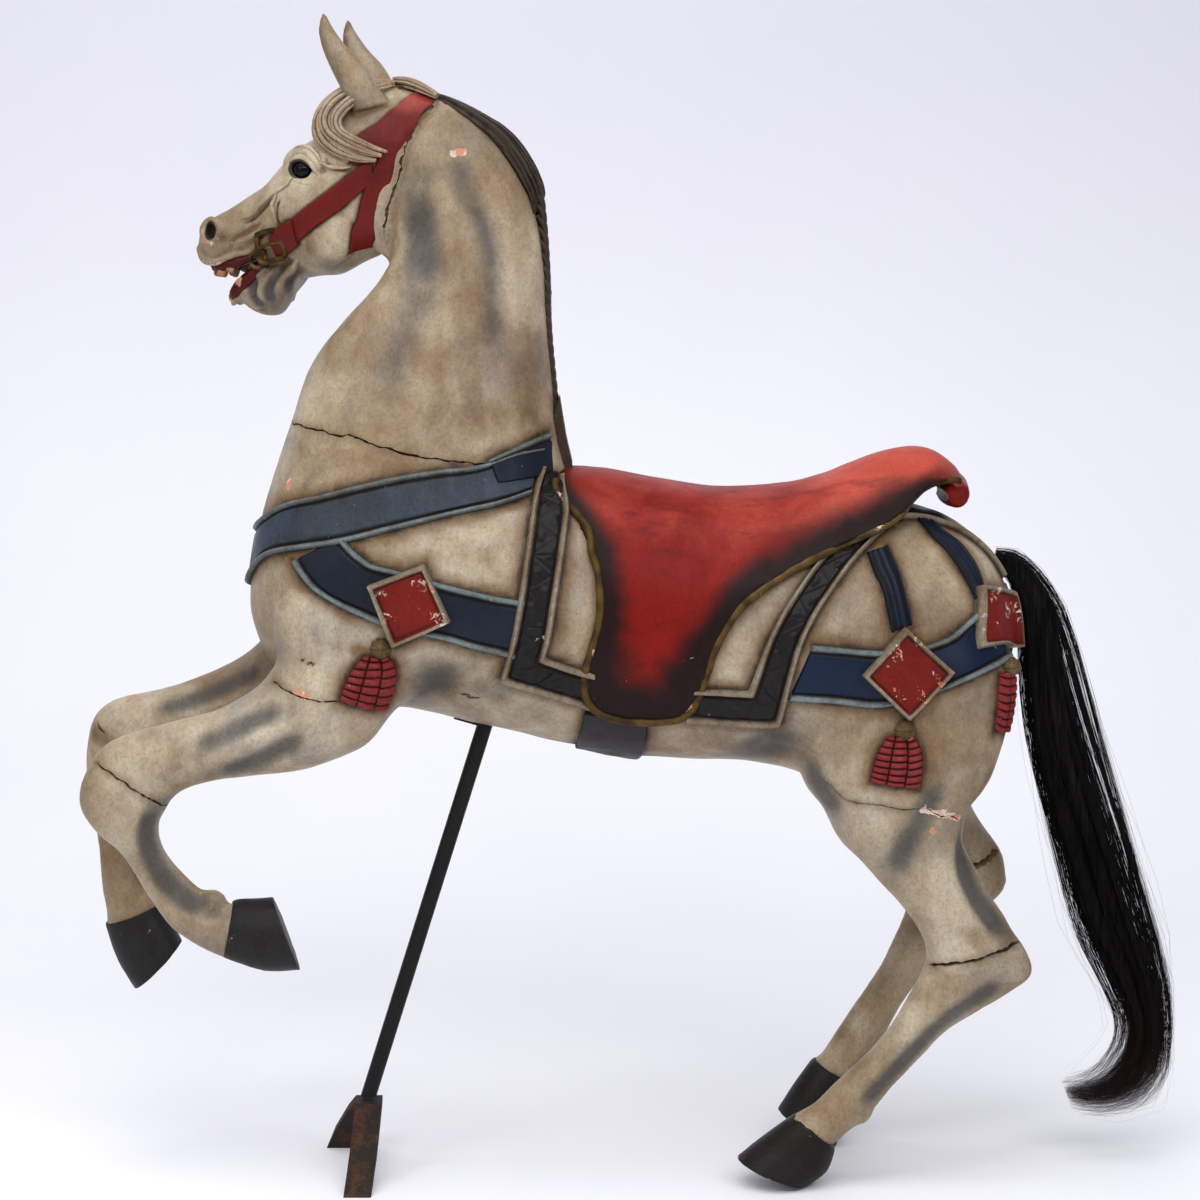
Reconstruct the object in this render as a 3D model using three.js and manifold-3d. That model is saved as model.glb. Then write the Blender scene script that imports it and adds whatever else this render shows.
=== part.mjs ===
// A carved carousel horse on its iron display stand. Millimetres, +Z up, the horse faces -X,
// its left side is -Y. Every carved body is a loft between sections: each section runs from a
// top point to a bottom point in the horse's middle plane and has its own half width.
import * as THREE from 'three';
import Module from 'manifold-3d';

const wasm = await Module();
wasm.setup();

// ---------------------------------------------------------------- driving dimensions
const SHIFT_X = 10; // puts the middle of the whole length on X = 0
const FIT_GAP = 0.3; // clearance round the pieces let into the wood
const HEAD_YAW = THREE.MathUtils.degToRad(12); // the head looks a little to its right
const HEAD_PIVOT_X = -230;
const STRAP_RELIEF = 5;
const BAND_RELIEF = 7;
const BOSS_RELIEF = 13;
const TRUNK_SIDES = 16; // facets round the trunk, a limb, the skull and a lock of hair
const LIMB_SIDES = 8;
const SKULL_SIDES = 12;
const LOCK_SIDES = 5;
const CARVED_THROUGH = 260; // half depth of the outlines that are cut across the whole horse

// A section is [topX, topZ, bottomX, bottomZ, middleY, halfWidth, widestAt, topRoundness,
// bottomRoundness]; the last three are left out where the section is a plain oval.
const TRUNK = [
  [-255, 1185, -295, 1028, 0, 36, 0.45],
  [-217, 1186, -267, 1007, 0, 41],
  [-169, 1155, -287, 976, 0, 49],
  [-133, 1112, -316, 947, 0, 58],
  [-109, 1062, -344, 914, 0, 66, 0.52],
  [-100, 1006, -363, 878, 0, 75, 0.54],
  [-97, 947, -377, 838, 0, 86, 0.56, 2, 2.1],
  [-92, 887, -393, 786, 0, 98, 0.56, 2, 2.2],
  [-86, 827, -408, 742, 0, 110, 0.55, 2, 2.3],
  [-67, 775, -420, 684, 0, 122, 0.53, 2, 2.4],
  [-18, 768, -422, 627, 0, 130, 0.5, 2.1, 2.4],
  [31, 759, -398, 567, 0, 134, 0.5, 2.2, 2.3],
  [70, 754, -338, 527, 0, 134, 0.5, 2.2, 2.2],
  [108, 750, -255, 523, 0, 132, 0.5, 2.2, 2.2],
  [141, 750, -173, 505, 0, 131, 0.5, 2.2, 2.2],
  [188, 753, -10, 471, 0, 136, 0.5, 2.2, 2.2],
  [236, 753, 140, 461, 0, 138, 0.49, 2.2, 2.2],
  [281, 747, 217, 433, 0, 133, 0.47, 2.2, 2.2],
  [319, 738, 254, 422, 0, 126, 0.46, 2.2, 2.2],
  [357, 719, 290, 428, 0, 114, 0.45, 2.2, 2.2],
  [388, 689, 326, 445, 0, 95, 0.45, 2.2, 2.2],
  [409, 645, 353, 467, 0, 70, 0.45, 2.1, 2.1],
  [416, 596, 378, 495, 0, 38],
];
const HIND_LEFT = [
  [223, 640, 365, 640, -58, 48],
  [187, 550, 407, 570, -66, 57],
  [173, 491, 397, 494, -70, 60],
  [180, 450, 380, 449, -73, 56],
  [201, 424, 363, 422, -75, 50],
  [218, 390, 356, 396, -77, 44],
  [244, 363, 359, 377, -78, 38],
  [275, 329, 378, 337, -79, 32],
  [302, 296, 406, 294, -80, 29],
  [314, 268, 427, 261, -80, 28],
  [311, 246, 430, 237, -80, 27],
  [296, 216, 396, 213, -80, 24],
  [277, 182, 344, 181, -80, 20],
  [250, 149, 315, 151, -80, 19],
  [217, 117, 283, 117, -78, 20],
  [196, 94, 258, 85, -77, 23],
  [179, 83, 236, 64, -76, 23],
  [165, 76, 215, 45, -75, 25],
];
const HIND_RIGHT = [
  [224, 632, 372, 632, 58, 48],
  [202, 541, 403, 558, 66, 57],
  [203, 483, 394, 486, 70, 56],
  [226, 443, 388, 446, 73, 50],
  [249, 414, 378, 411, 75, 44],
  [267, 385, 385, 388, 76, 36],
  [285, 349, 400, 367, 78, 31],
  [300, 314, 417, 343, 79, 29],
  [310, 285, 423, 318, 80, 28],
  [307, 268, 420, 297, 80, 27],
  [295, 238, 389, 268, 80, 23],
  [281, 208, 355, 233, 80, 20],
  [260, 175, 332, 201, 80, 19],
  [238, 141, 306, 162, 80, 20],
  [222, 115, 284, 123, 80, 23],
  [213, 103, 268, 100, 80, 23],
  [199, 93, 251, 74, 80, 25],
];
const FORE_LEFT = [
  [-363, 627, -224, 550, -68, 56],
  [-395, 571, -261, 528, -76, 54],
  [-417, 550, -293, 492, -81, 48],
  [-454, 531, -353, 468, -84, 42],
  [-497, 519, -417, 460, -85, 37],
  [-541, 508, -466, 452, -85, 33],
  [-575, 492, -496, 440, -85, 31],
  [-597, 459, -509, 421, -85, 31],
  [-602, 426, -516, 409, -85, 29],
  [-586, 400, -516, 391, -85, 24],
  [-562, 378, -509, 374, -85, 20],
  [-544, 352, -497, 358, -85, 19],
  [-527, 323, -480, 341, -85, 19],
  [-507, 295, -463, 328, -85, 21],
  [-485, 278, -450, 317, -85, 23],
  [-462, 265, -439, 317, -85, 24],
  [-440, 256, -429, 323, -85, 26],
];
const FORE_RIGHT = [
  [-377, 643, -232, 541, 68, 56],
  [-422, 585, -300, 517, 78, 52],
  [-453, 562, -346, 487, 82, 46],
  [-499, 541, -420, 470, 84, 40],
  [-545, 526, -483, 458, 85, 35],
  [-587, 517, -523, 444, 85, 32],
  [-612, 499, -541, 426, 85, 31],
  [-622, 467, -547, 406, 85, 31],
  [-624, 433, -553, 391, 85, 29],
  [-619, 394, -558, 375, 85, 24],
  [-613, 360, -559, 354, 85, 20],
  [-611, 325, -562, 328, 85, 19],
  [-608, 293, -559, 301, 85, 21],
  [-604, 272, -546, 286, 85, 23],
  [-604, 249, -540, 270, 85, 25],
];
const HOOVES = [
  [[171, 83, 219, 38, -74, 27], [138, 54, 209, 16, -74, 32], [111, 31, 187, 0, -74, 36]],
  [[203, 101, 252, 69, 74, 27], [182, 69, 243, 36, 74, 32], [165, 41, 232, 0, 74, 36]],
  [[-448, 258, -436, 322, -85, 28], [-405, 245, -412, 324, -85, 33], [-366, 246, -395, 325, -85, 36]],
  [[-606, 256, -543, 282, 85, 27], [-593, 214, -528, 254, 85, 33], [-574, 181, -519, 237, 85, 36]],
];
// The head's own sections are drawn with the head straight; HEAD_YAW turns it afterwards.
const SKULL = [
  [-234, 1191, -263, 1022, 0, 38, 0.4],
  [-265, 1198, -271, 1020, 0, 44, 0.4],
  [-296, 1194, -297, 1010, 0, 50, 0.45, 2, 2.2],
  [-321, 1175, -324, 996, 0, 54, 0.5, 2, 2.2],
  [-338, 1152, -347, 994, 0, 55, 0.48, 2.1, 2.2],
  [-362, 1136, -368, 992, 0, 53, 0.45, 2.2, 2.1],
  [-384, 1117, -390, 998, 0, 47, 0.45, 2.2, 2.1],
  [-406, 1094, -408, 1005, 0, 40, 0.5, 2.1, 2.2],
  [-428, 1080, -423, 1014, 0, 36, 0.52, 2.1, 2.4],
  [-449, 1067, -438, 1016, 0, 35, 0.55, 2.1, 2.6],
  [-468, 1057, -452, 1010, 0, 35, 0.55, 2.2, 2.6],
  [-480, 1045, -464, 1004, 0, 31, 0.55, 2.2, 2.4],
  [-485, 1024, -473, 1004, 0, 20],
];
const LOWER_JAW = [
  [-360, 1022, -368, 991, 0, 40],
  [-383, 1014, -375, 979, 0, 34, 0.5, 2.2, 2.2],
  [-404, 1009, -384, 965, 0, 31, 0.5, 2.2, 2.2],
  [-420, 1003, -395, 952, 0, 29, 0.5, 2.2, 2.2],
  [-434, 991, -414, 952, 0, 28, 0.5, 2.2, 2.2],
  [-443, 977, -430, 962, 0, 22, 0.5, 2.2, 2.2],
  [-447, 971, -441, 965, 0, 10],
];
// One ear, [frontX, frontZ, rearX, rearZ, distance from the middle, halfWidth]
const EAR = [
  [-300, 1172, -262, 1182, 34, 14],
  [-314, 1200, -274, 1202, 38, 15],
  [-327, 1228, -289, 1224, 41, 14],
  [-333, 1249, -306, 1241, 43, 10],
  [-332, 1264, -318, 1259, 44, 6],
  [-329, 1274, -325, 1273, 44, 2],
];
const EYE = { x: -352, y: 42, z: 1108, radius: 12 };
const NOSTRIL = { x: -464, y: 34, z: 1044, halfX: 6, halfY: 14, halfZ: 9 };
const POLL_CORE = [-237, 4, 1149, 42, 38, 38]; // closes the wood where neck and skull meet
const TEETH = [[-467, -453, 1000, 1010, 18], [-447, -437, 974, 992, 13]];
// A lock of hair is [x, y, z, halfThickness across, half height] at each of its knots.
const FORELOCKS = [
  [[-268, -14, 1196, 10, 8], [-306, -36, 1190, 12, 9], [-325, -44, 1162, 11, 9], [-306, -50, 1137, 9, 10],
    [-262, -52, 1124, 3, 3]],
  [[-276, -8, 1198, 9, 8], [-318, -26, 1184, 12, 9], [-332, -36, 1152, 10, 8], [-310, -49, 1127, 9, 9],
    [-278, -53, 1119, 3, 3]],
  [[-284, 2, 1196, 9, 8], [-326, -12, 1176, 11, 9], [-336, -28, 1148, 8, 7], [-312, -26, 1142, 3, 3]],
];
const CREST = [[-285, 1200], [-223, 1193], [-175, 1171], [-127, 1138], [-104, 1092], [-99, 1040],
  [-97, 985], [-96, 930], [-91, 880], [-84, 830]];
const MANE_LOCKS = 8;
const MANE_LOCK_LENGTH = 120;
const BRAID_TEETH = 8;
const WITHER_WEDGE = [[-86, 862], [-104, 785], [-72, 783]];

// Saddle sections stand upright: [x, seatZ, halfWidth]
const SADDLE = [[-100, 788, 112], [-73, 788, 128], [-35, 785, 139], [25, 774, 144], [90, 765, 146],
  [157, 768, 147], [210, 783, 146], [255, 800, 142], [305, 806, 134]];
const SADDLE_BOTTOM_Z = 478;
const FLAP = [[-95, 779], [-83, 757], [-67, 738], [-53, 713], [-41, 680], [-41, 632], [-55, 586], [-58, 562],
  [-51, 540], [-35, 528], [3, 521], [38, 523], [56, 535], [71, 571], [84, 612], [110, 651], [150, 679],
  [204, 707], [265, 730], [285, 742], [285, 900], [-95, 900]];
// The cantle rises behind the seat and rolls over: [x, topZ, bottomZ, halfWidth]
const CANTLE = [[190, 774, 730, 96], [233, 791, 728, 98], [266, 803, 730, 92], [299, 809, 742, 82],
  [321, 806, 750, 71], [337, 795, 740, 60], [349, 781, 741, 46], [357, 765, 752, 24]];

// Straps and bands are outlines in the side view, raised out of the body on both sides.
const STRAPS = {
  upperBreast: [[-98, 815], [-131, 809], [-167, 796], [-251, 787], [-337, 764], [-389, 745], [-405, 717],
    [-460, 712], [-460, 655], [-416, 657], [-406, 689], [-359, 708], [-272, 724], [-188, 745], [-118, 758]],
  lowerBreast: [[-380, 702], [-359, 680], [-342, 661], [-294, 637], [-209, 614], [-130, 593], [-127, 657],
    [-209, 675], [-277, 693], [-310, 716]],
  girth: [[-58, 540], [-67, 440], [6, 440], [6, 540]],
  cruppers: [[246, 712], [258, 666], [268, 605], [290, 605], [280, 676], [270, 712]],
  hipStrap: [[306, 728], [329, 704], [347, 678], [362, 640], [376, 650], [369, 681], [352, 710], [326, 734]],
  breeching: [[161, 549], [168, 609], [256, 603], [309, 607], [337, 617], [366, 639], [430, 655], [430, 586],
    [388, 582], [353, 569], [326, 559], [257, 540], [204, 546]],
  spine: [[284, 738], [350, 705], [395, 655], [405, 665], [400, 720], [300, 775], [284, 765]],
};
const BANDS = {
  front: [[-103, 795], [-121, 698], [-135, 614], [-146, 568], [-99, 554], [-45, 537], [-50, 583], [-95, 594],
    [-80, 698], [-75, 790]],
  rear: [[262, 735], [235, 699], [208, 667], [187, 636], [171, 599], [158, 560], [152, 520], [45, 525],
    [60, 560], [117, 560], [134, 609], [150, 641], [190, 694], [221, 716], [236, 740]],
};
const BOSSES = {
  chestDiamond: [[-285, 672], [-224, 695], [-196, 633], [-259, 605]],
  rumpDiamond: [[282, 626], [333, 578], [287, 528], [237, 577]],
  tailDiamond: [[370, 666], [412, 656], [424, 588], [362, 602]],
  chestTassel: [[-291, 596], [-267, 600], [-256, 574], [-270, 535], [-316, 549]],
};
const THIGH_TASSELS = { left: [[263, 512], [298, 512], [301, 454], [248, 462]] };

// [inner point, outer point, halfWidth] down the hair of the tail
const TAIL = [
  [394, 672, 395, 694, 10], [410, 664, 419, 690, 18], [417, 642, 446, 664, 25], [421, 607, 471, 620, 31],
  [423, 545, 492, 553, 35], [431, 476, 513, 484, 39], [448, 402, 538, 410, 41], [469, 334, 560, 342, 41],
  [490, 268, 581, 276, 39], [519, 214, 595, 224, 35], [540, 168, 604, 172, 31], [537, 136, 602, 114, 27],
  [516, 108, 576, 71, 22], [494, 97, 524, 60, 15], [479, 92, 489, 66, 6],
];

const ROD = { topX: -161, topZ: 521, bottomX: -300, bottomZ: 79, radius: 9 };
const FOOT = { width: 30, thick: 7 };
const FOOT_PATH = [[-304, -118, 0], [-301, -70, 34], [-299, -16, 74], [-300, 12, 76], [-310, 30, 60],
  [-327, 52, 28], [-338, 66, 0]];
const PLATE = { x: -181, z: 507, length: 40, width: 34, thick: 5, tilt: 0.28 };

// ---------------------------------------------------------------- shaping functions
const turnHead = ([x, y, z]) => {
  const reach = x - HEAD_PIVOT_X;
  const c = Math.cos(HEAD_YAW);
  const s = Math.sin(HEAD_YAW);
  return [HEAD_PIVOT_X + reach * c + y * s, y * c - reach * s, z];
};
const stay = (point) => point;

// One closed solid from points and triangles, turned face-out whichever way it was listed.
function solid(points, faces) {
  const make = (triangles) => new wasm.Manifold(new wasm.Mesh({
    numProp: 3,
    vertProperties: new Float32Array(points.flat()),
    triVerts: new Uint32Array(triangles.flat()),
  }));
  const made = make(faces);
  return made.volume() > 0 ? made : make(faces.map(([a, b, c]) => [a, c, b]));
}

const join = (solids) => solids.reduce((whole, one) => whole.add(one));

// Rows of numbers carried smoothly through each given row (Catmull-Rom), `steps` per span.
function smoothRows(rows, steps) {
  const full = rows.map((r) => [...r, ...[0.5, 2, 2].slice(Math.max(0, r.length - 6))]);
  const out = [];
  for (let i = 0; i + 1 < full.length; i += 1) {
    const near = [i - 1, i, i + 1, i + 2].map((k) => Math.min(Math.max(k, 0), full.length - 1));
    const [a, b, c, d] = near.map((k) => full[k]);
    for (let s = 0; s < steps; s += 1) {
      const t = s / steps;
      out.push(b.map((_, k) => 0.5 * (2 * b[k] + (c[k] - a[k]) * t
        + (2 * a[k] - 5 * b[k] + 4 * c[k] - d[k]) * t * t + (3 * b[k] - a[k] - 3 * c[k] + d[k]) * t ** 3)));
    }
  }
  out.push(full[full.length - 1]);
  return out;
}

// Joins equal rings of points into a closed skin with a fan over each end.
function skin(rings, place = stay) {
  const sides = rings[0].length;
  const middle = (ring) => [0, 1, 2].map((k) => ring.reduce((sum, p) => sum + p[k], 0) / sides);
  const points = [...rings.flat(), middle(rings[0]), middle(rings[rings.length - 1])].map(place);
  const last = rings.length - 1;
  const faces = [];
  for (let i = 0; i < sides; i += 1) {
    const j = (i + 1) % sides;
    for (let r = 0; r < last; r += 1) {
      const [a, b] = [r * sides, (r + 1) * sides];
      faces.push([a + i, a + j, b + j], [a + i, b + j, b + i]);
    }
    faces.push([points.length - 2, j, i], [points.length - 1, last * sides + i, last * sides + j]);
  }
  return solid(points, faces);
}

// The loft through a list of sections, grown outwards by `grow`.
function loft(sections, { sides = 12, steps = 1, grow = 0, place = stay } = {}) {
  const rings = smoothRows(sections, steps).map(([tx, tz, bx, bz, y, half, widest, up, down]) => {
    const length = Math.hypot(bx - tx, bz - tz);
    const [ux, uz] = [(bx - tx) / length, (bz - tz) / length];
    return Array.from({ length: sides }, (_, i) => {
      const angle = (2 * Math.PI * i) / sides;
      const c = Math.cos(angle);
      const round = 2 / (c >= 0 ? up : down);
      const along = c >= 0 ? widest * (1 - c ** round) : widest + (1 - widest) * (-c) ** round;
      const reach = along * (length + 2 * grow) - grow;
      const across = Math.sign(Math.sin(angle)) * Math.abs(Math.sin(angle)) ** round;
      return [tx + ux * reach, y + (half + grow) * across, tz + uz * reach];
    });
  });
  return skin(rings, place);
}

// An outline of the side view cut straight across the horse from y0 to y1.
function slab(outline, y0 = -CARVED_THROUGH, y1 = CARVED_THROUGH, place = stay) {
  const contour = outline.map(([x, z]) => new THREE.Vector2(x, z));
  if (THREE.ShapeUtils.isClockWise(contour)) {
    contour.reverse();
  }
  const n = contour.length;
  const points = [y0, y1].flatMap((y) => contour.map((p) => place([p.x, y, p.y])));
  const faces = THREE.ShapeUtils.triangulateShape(contour, [])
    .flatMap(([a, b, c]) => [[a, b, c], [a + n, c + n, b + n]]);
  for (let i = 0; i < n; i += 1) {
    const j = (i + 1) % n;
    faces.push([i, i + n, j], [j, i + n, j + n]);
  }
  return solid(points, faces);
}

function ball(x, y, z, rx, ry, rz, around = 10, up = 6, place = stay) {
  const rings = [];
  for (let r = 0; r < up; r += 1) {
    const lift = Math.PI * ((r + 0.35) / (up - 0.3) - 0.5);
    rings.push(Array.from({ length: around }, (_, i) => {
      const a = (2 * Math.PI * i) / around;
      const out = Math.cos(lift);
      return [x + rx * out * Math.cos(a), y + ry * out * Math.sin(a), z + rz * Math.sin(lift)];
    }));
  }
  return skin(rings, place);
}

const box = (x0, x1, z0, z1, y0, y1, place = stay) => (
  slab([[x0, z0], [x1, z0], [x1, z1], [x0, z1]], y0, y1, place)
);

// A tube through knots [x, y, z, across, high]; its section stays upright.
function lock(knots, { sides = LOCK_SIDES, steps = 1, place = stay } = {}) {
  const rows = smoothRows(knots.map((k) => [...k, 0]), steps);
  const rings = rows.map(([x, y, z, across, high], i) => {
    const before = rows[Math.max(i - 1, 0)];
    const after = rows[Math.min(i + 1, rows.length - 1)];
    const [dx, dy, dz] = [0, 1, 2].map((k) => after[k] - before[k]);
    const along = new THREE.Vector3(dx, dy, dz).normalize();
    const side = new THREE.Vector3(0, 1, 0).addScaledVector(along, -along.y).normalize();
    const over = new THREE.Vector3().crossVectors(along, side);
    return Array.from({ length: sides }, (_, k) => {
      const a = (2 * Math.PI * k) / sides;
      return [0, 1, 2].map((m) => [x, y, z][m]
        + side.getComponent(m) * across * Math.cos(a) + over.getComponent(m) * high * Math.sin(a));
    });
  });
  return skin(rings, place);
}

// ---------------------------------------------------------------- the carved horse
const trunkGrown = (grow) => loft(TRUNK, { sides: TRUNK_SIDES, grow });
const thighsGrown = (grow) => join([HIND_LEFT, HIND_RIGHT].map(
  (rows) => loft(rows.slice(0, 5), { sides: LIMB_SIDES, grow }),
));

function limbs() {
  const tables = [HIND_LEFT, HIND_RIGHT, FORE_LEFT, FORE_RIGHT];
  const legs = tables.map((rows) => loft(rows, { sides: LIMB_SIDES }));
  return join([...legs, ...HOOVES.map((rows) => loft(rows, { sides: LIMB_SIDES }))]);
}

function head() {
  const turned = { place: turnHead };
  const ears = [-1, 1].map((side) => loft(
    EAR.map(([fx, fz, rx, rz, y, half]) => [fx, fz, rx, rz, side * y, half]),
    { sides: 6, ...turned },
  ));
  const teeth = TEETH.map(([x0, x1, z0, z1, half]) => box(x0, x1, z0, z1, -half, half, turnHead));
  const hair = FORELOCKS.map((knots) => lock(knots, turned));
  const nostrils = [-1, 1].map((side) => ball(NOSTRIL.x, side * NOSTRIL.y, NOSTRIL.z,
    NOSTRIL.halfX, NOSTRIL.halfY, NOSTRIL.halfZ, 6, 3, turnHead));
  const whole = join([
    loft(SKULL, { sides: SKULL_SIDES, ...turned }),
    loft(LOWER_JAW, { sides: LIMB_SIDES, ...turned }),
    ball(...POLL_CORE, 8, 5),
    ...ears, ...teeth, ...hair,
  ]);
  return nostrils.reduce((left, hole) => left.subtract(hole), whole);
}

const BRIDLE = [
  [[-231, 1210], [-252, 1173], [-262, 1128], [-273, 1107], [-290, 1060], [-299, 1019],
    [-300, 985], [-262, 985],
    [-266, 1033], [-253, 1076], [-242, 1118], [-222, 1170], [-200, 1210]],
  [[-290, 1113], [-310, 1095], [-355, 1062], [-377, 1040], [-366, 1022], [-327, 1052], [-282, 1084]],
  [[-248, 1178], [-286, 1157], [-306, 1124], [-288, 1104], [-270, 1110], [-258, 1150]],
  [[-406, 1037], [-381, 1042], [-371, 1014], [-402, 1007]],
];

function bridle() {
  const shell = loft(SKULL, { sides: SKULL_SIDES, grow: STRAP_RELIEF, place: turnHead });
  const straps = BRIDLE.map((outline) => slab(outline, -CARVED_THROUGH, CARVED_THROUGH, turnHead));
  return shell.intersect(join(straps));
}

// Locks hang down the right side of the neck, each a little lower than the last.
function mane() {
  const locks = Array.from({ length: MANE_LOCKS }, (_, i) => {
    const t = (i / (MANE_LOCKS - 1)) * (CREST.length - 2.2);
    const k = Math.floor(t);
    const [x, z] = [0, 1].map((m) => CREST[k][m] + (CREST[k + 1][m] - CREST[k][m]) * (t - k));
    const out = 46 + 3.2 * i;
    const fall = MANE_LOCK_LENGTH * (0.8 + 0.25 * ((i * 7) % 3) * 0.5);
    return lock([[x - 6, -2, z - 8, 10, 14], [x, out * 0.62, z - fall * 0.22, 12, 17],
      [x - 26, out + 6, z - fall * 0.6, 9, 15], [x - 62, out + 8, z - fall, 3, 4]]);
  });
  const rollRows = CREST.slice(0, 6).map(([x, z], i) => [x + (i > 2 ? -6 : 0), 4, z - 6, 15, 11]);
  const roll = lock(rollRows, { sides: 6 });
  const teeth = [];
  for (let i = 0; i <= BRAID_TEETH; i += 1) {
    const t = i / BRAID_TEETH;
    const [x, z] = [-97 + 14 * t * t, 1062 - 235 * t];
    teeth.push([x, z], [x + 7, z - 8]);
  }
  const braid = slab([...teeth, [-96, 820], [-130, 1062]], -9, 9);
  return join([...locks, roll, braid, slab(WITHER_WEDGE, -20, 20)]);
}

function saddle() {
  const rows = SADDLE.map(([x, z, half]) => [x, z, x, SADDLE_BOTTOM_Z, 0, half, 0.54, 2.3, 2.2]);
  const seat = loft(rows, { sides: 16 }).intersect(slab(FLAP));
  const cantle = loft(CANTLE.map(([x, top, bottom, half]) => [x, top, x, bottom, 0, half, 0.45, 2.4, 2.4]),
    { sides: 12 });
  return seat.add(cantle);
}

function harness() {
  const cut = (outlines) => join(Object.values(outlines).map((outline) => slab(outline)));
  const low = trunkGrown(STRAP_RELIEF).intersect(cut(STRAPS));
  const middle = trunkGrown(BAND_RELIEF).intersect(cut(BANDS));
  const high = trunkGrown(BOSS_RELIEF).intersect(cut(BOSSES));
  const hung = thighsGrown(BOSS_RELIEF).intersect(cut(THIGH_TASSELS));
  return join([low, middle, high, hung]);
}

const axisOf = (from, to, radius, grow) => {
  const reach = radius + grow;
  const sections = [from, to].map(([x, z]) => [x - reach, z, x + reach, z, 0, reach]);
  return loft(sections, { sides: 12 });
};
const rodFor = (grow) => axisOf([ROD.topX, ROD.topZ + grow], [ROD.bottomX, ROD.bottomZ], ROD.radius, grow);

function plateFor(grow) {
  const [l, t] = [PLATE.length / 2 + grow, PLATE.thick / 2 + grow];
  const [c, s] = [Math.cos(PLATE.tilt), Math.sin(PLATE.tilt)];
  const corners = [[-l, -t], [l, -t], [l, t], [-l, t]].map(([u, v]) => [PLATE.x + u * c + v * s,
    PLATE.z - u * s + v * c]);
  return slab(corners, -PLATE.width / 2 - grow, PLATE.width / 2 + grow);
}

function tailFor(grow) {
  return loft(TAIL.map(([ix, iz, ox, oz, half]) => [ix, iz, ox, oz, 0, half]), { sides: 8, grow });
}

const eyeFor = (side, grow) => ball(EYE.x, side * EYE.y, EYE.z, EYE.radius + grow, EYE.radius + grow,
  EYE.radius + grow, 8, 6, turnHead);

function carvedHorse() {
  const trunk = loft(TRUNK, { sides: TRUNK_SIDES });
  const wood = join([trunk, limbs(), head(), bridle(), mane(), saddle(), harness()]);
  const eyes = [eyeFor(-1, FIT_GAP), eyeFor(1, FIT_GAP)];
  const letIn = [rodFor(FIT_GAP), plateFor(FIT_GAP), ...eyes, tailFor(FIT_GAP)];
  return letIn.reduce((left, piece) => left.subtract(piece), wood);
}

// ---------------------------------------------------------------- the stand
function foot() {
  const half = FOOT.width / 2;
  const rings = FOOT_PATH.map(([x, y, z], i) => {
    const before = FOOT_PATH[Math.max(i - 1, 0)];
    const after = FOOT_PATH[Math.min(i + 1, FOOT_PATH.length - 1)];
    const span = Math.hypot(after[1] - before[1], after[2] - before[2]);
    const [ny, nz] = [-(after[2] - before[2]) / span, (after[1] - before[1]) / span];
    const level = i === 0 || i === FOOT_PATH.length - 1;
    const [oy, oz] = level ? [Math.sign(ny) * FOOT.thick * 1.2, 0] : [ny * FOOT.thick, nz * FOOT.thick];
    return [[x - half, y, z], [x + half, y, z], [x + half, y - oy, z - oz], [x - half, y - oy, z - oz]];
  });
  return skin(rings).subtract(rodFor(FIT_GAP));
}

// ---------------------------------------------------------------- meshes
const PAINT = {
  wood: { color: 0xbfae8d, roughness: 0.6, metalness: 0 },
  glass: { color: 0x0b0b0d, roughness: 0.1, metalness: 0 },
  hair: { color: 0x17130f, roughness: 0.6, metalness: 0 },
  iron: { color: 0x45403d, roughness: 0.7, metalness: 0.6 },
  rust: { color: 0x5f4a3c, roughness: 0.8, metalness: 0.4 },
};

function mesh(name, body, paint) {
  const { vertProperties, triVerts, numProp } = body.getMesh();
  const positions = new Float32Array((vertProperties.length / numProp) * 3);
  for (let i = 0; i < positions.length; i += 1) {
    positions[i] = vertProperties[Math.floor(i / 3) * numProp + (i % 3)];
  }
  const geometry = new THREE.BufferGeometry();
  geometry.setAttribute('position', new THREE.BufferAttribute(positions, 3));
  geometry.setIndex(new THREE.BufferAttribute(new Uint32Array(triVerts), 1));
  const made = new THREE.Mesh(geometry, new THREE.MeshStandardMaterial(PAINT[paint]));
  made.name = name;
  return made;
}

const horse = new THREE.Group();
horse.name = 'carousel_horse';
horse.add(
  mesh('horse', carvedHorse(), 'wood'),
  mesh('eye_left', eyeFor(-1, 0), 'glass'),
  mesh('eye_right', eyeFor(1, 0), 'glass'),
  mesh('tail', tailFor(0), 'hair'),
  mesh('stand_rod', rodFor(0).subtract(plateFor(FIT_GAP)), 'iron'),
  mesh('stand_foot', foot(), 'rust'),
  mesh('stand_plate', plateFor(0), 'iron'),
);
horse.position.x = SHIFT_X;

export default horse;
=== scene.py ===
"""Looks of a carved carousel horse on its iron stand, modelled in the CAD frame.

Dimensions are millimetres in the horse's own drawing frame: it faces -X, its left side is -Y and
+Z is up. `to_metres` moves them into the frame of the CAD model. Points marked as turned belong
to the head, which is drawn straight and then looks a little to the horse's right.
"""
import logging
import math
from collections.abc import Sequence
from dataclasses import dataclass, field, replace
from enum import Enum

import bpy
import numpy as np
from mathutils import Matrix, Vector
from mathutils.bvhtree import BVHTree


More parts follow.
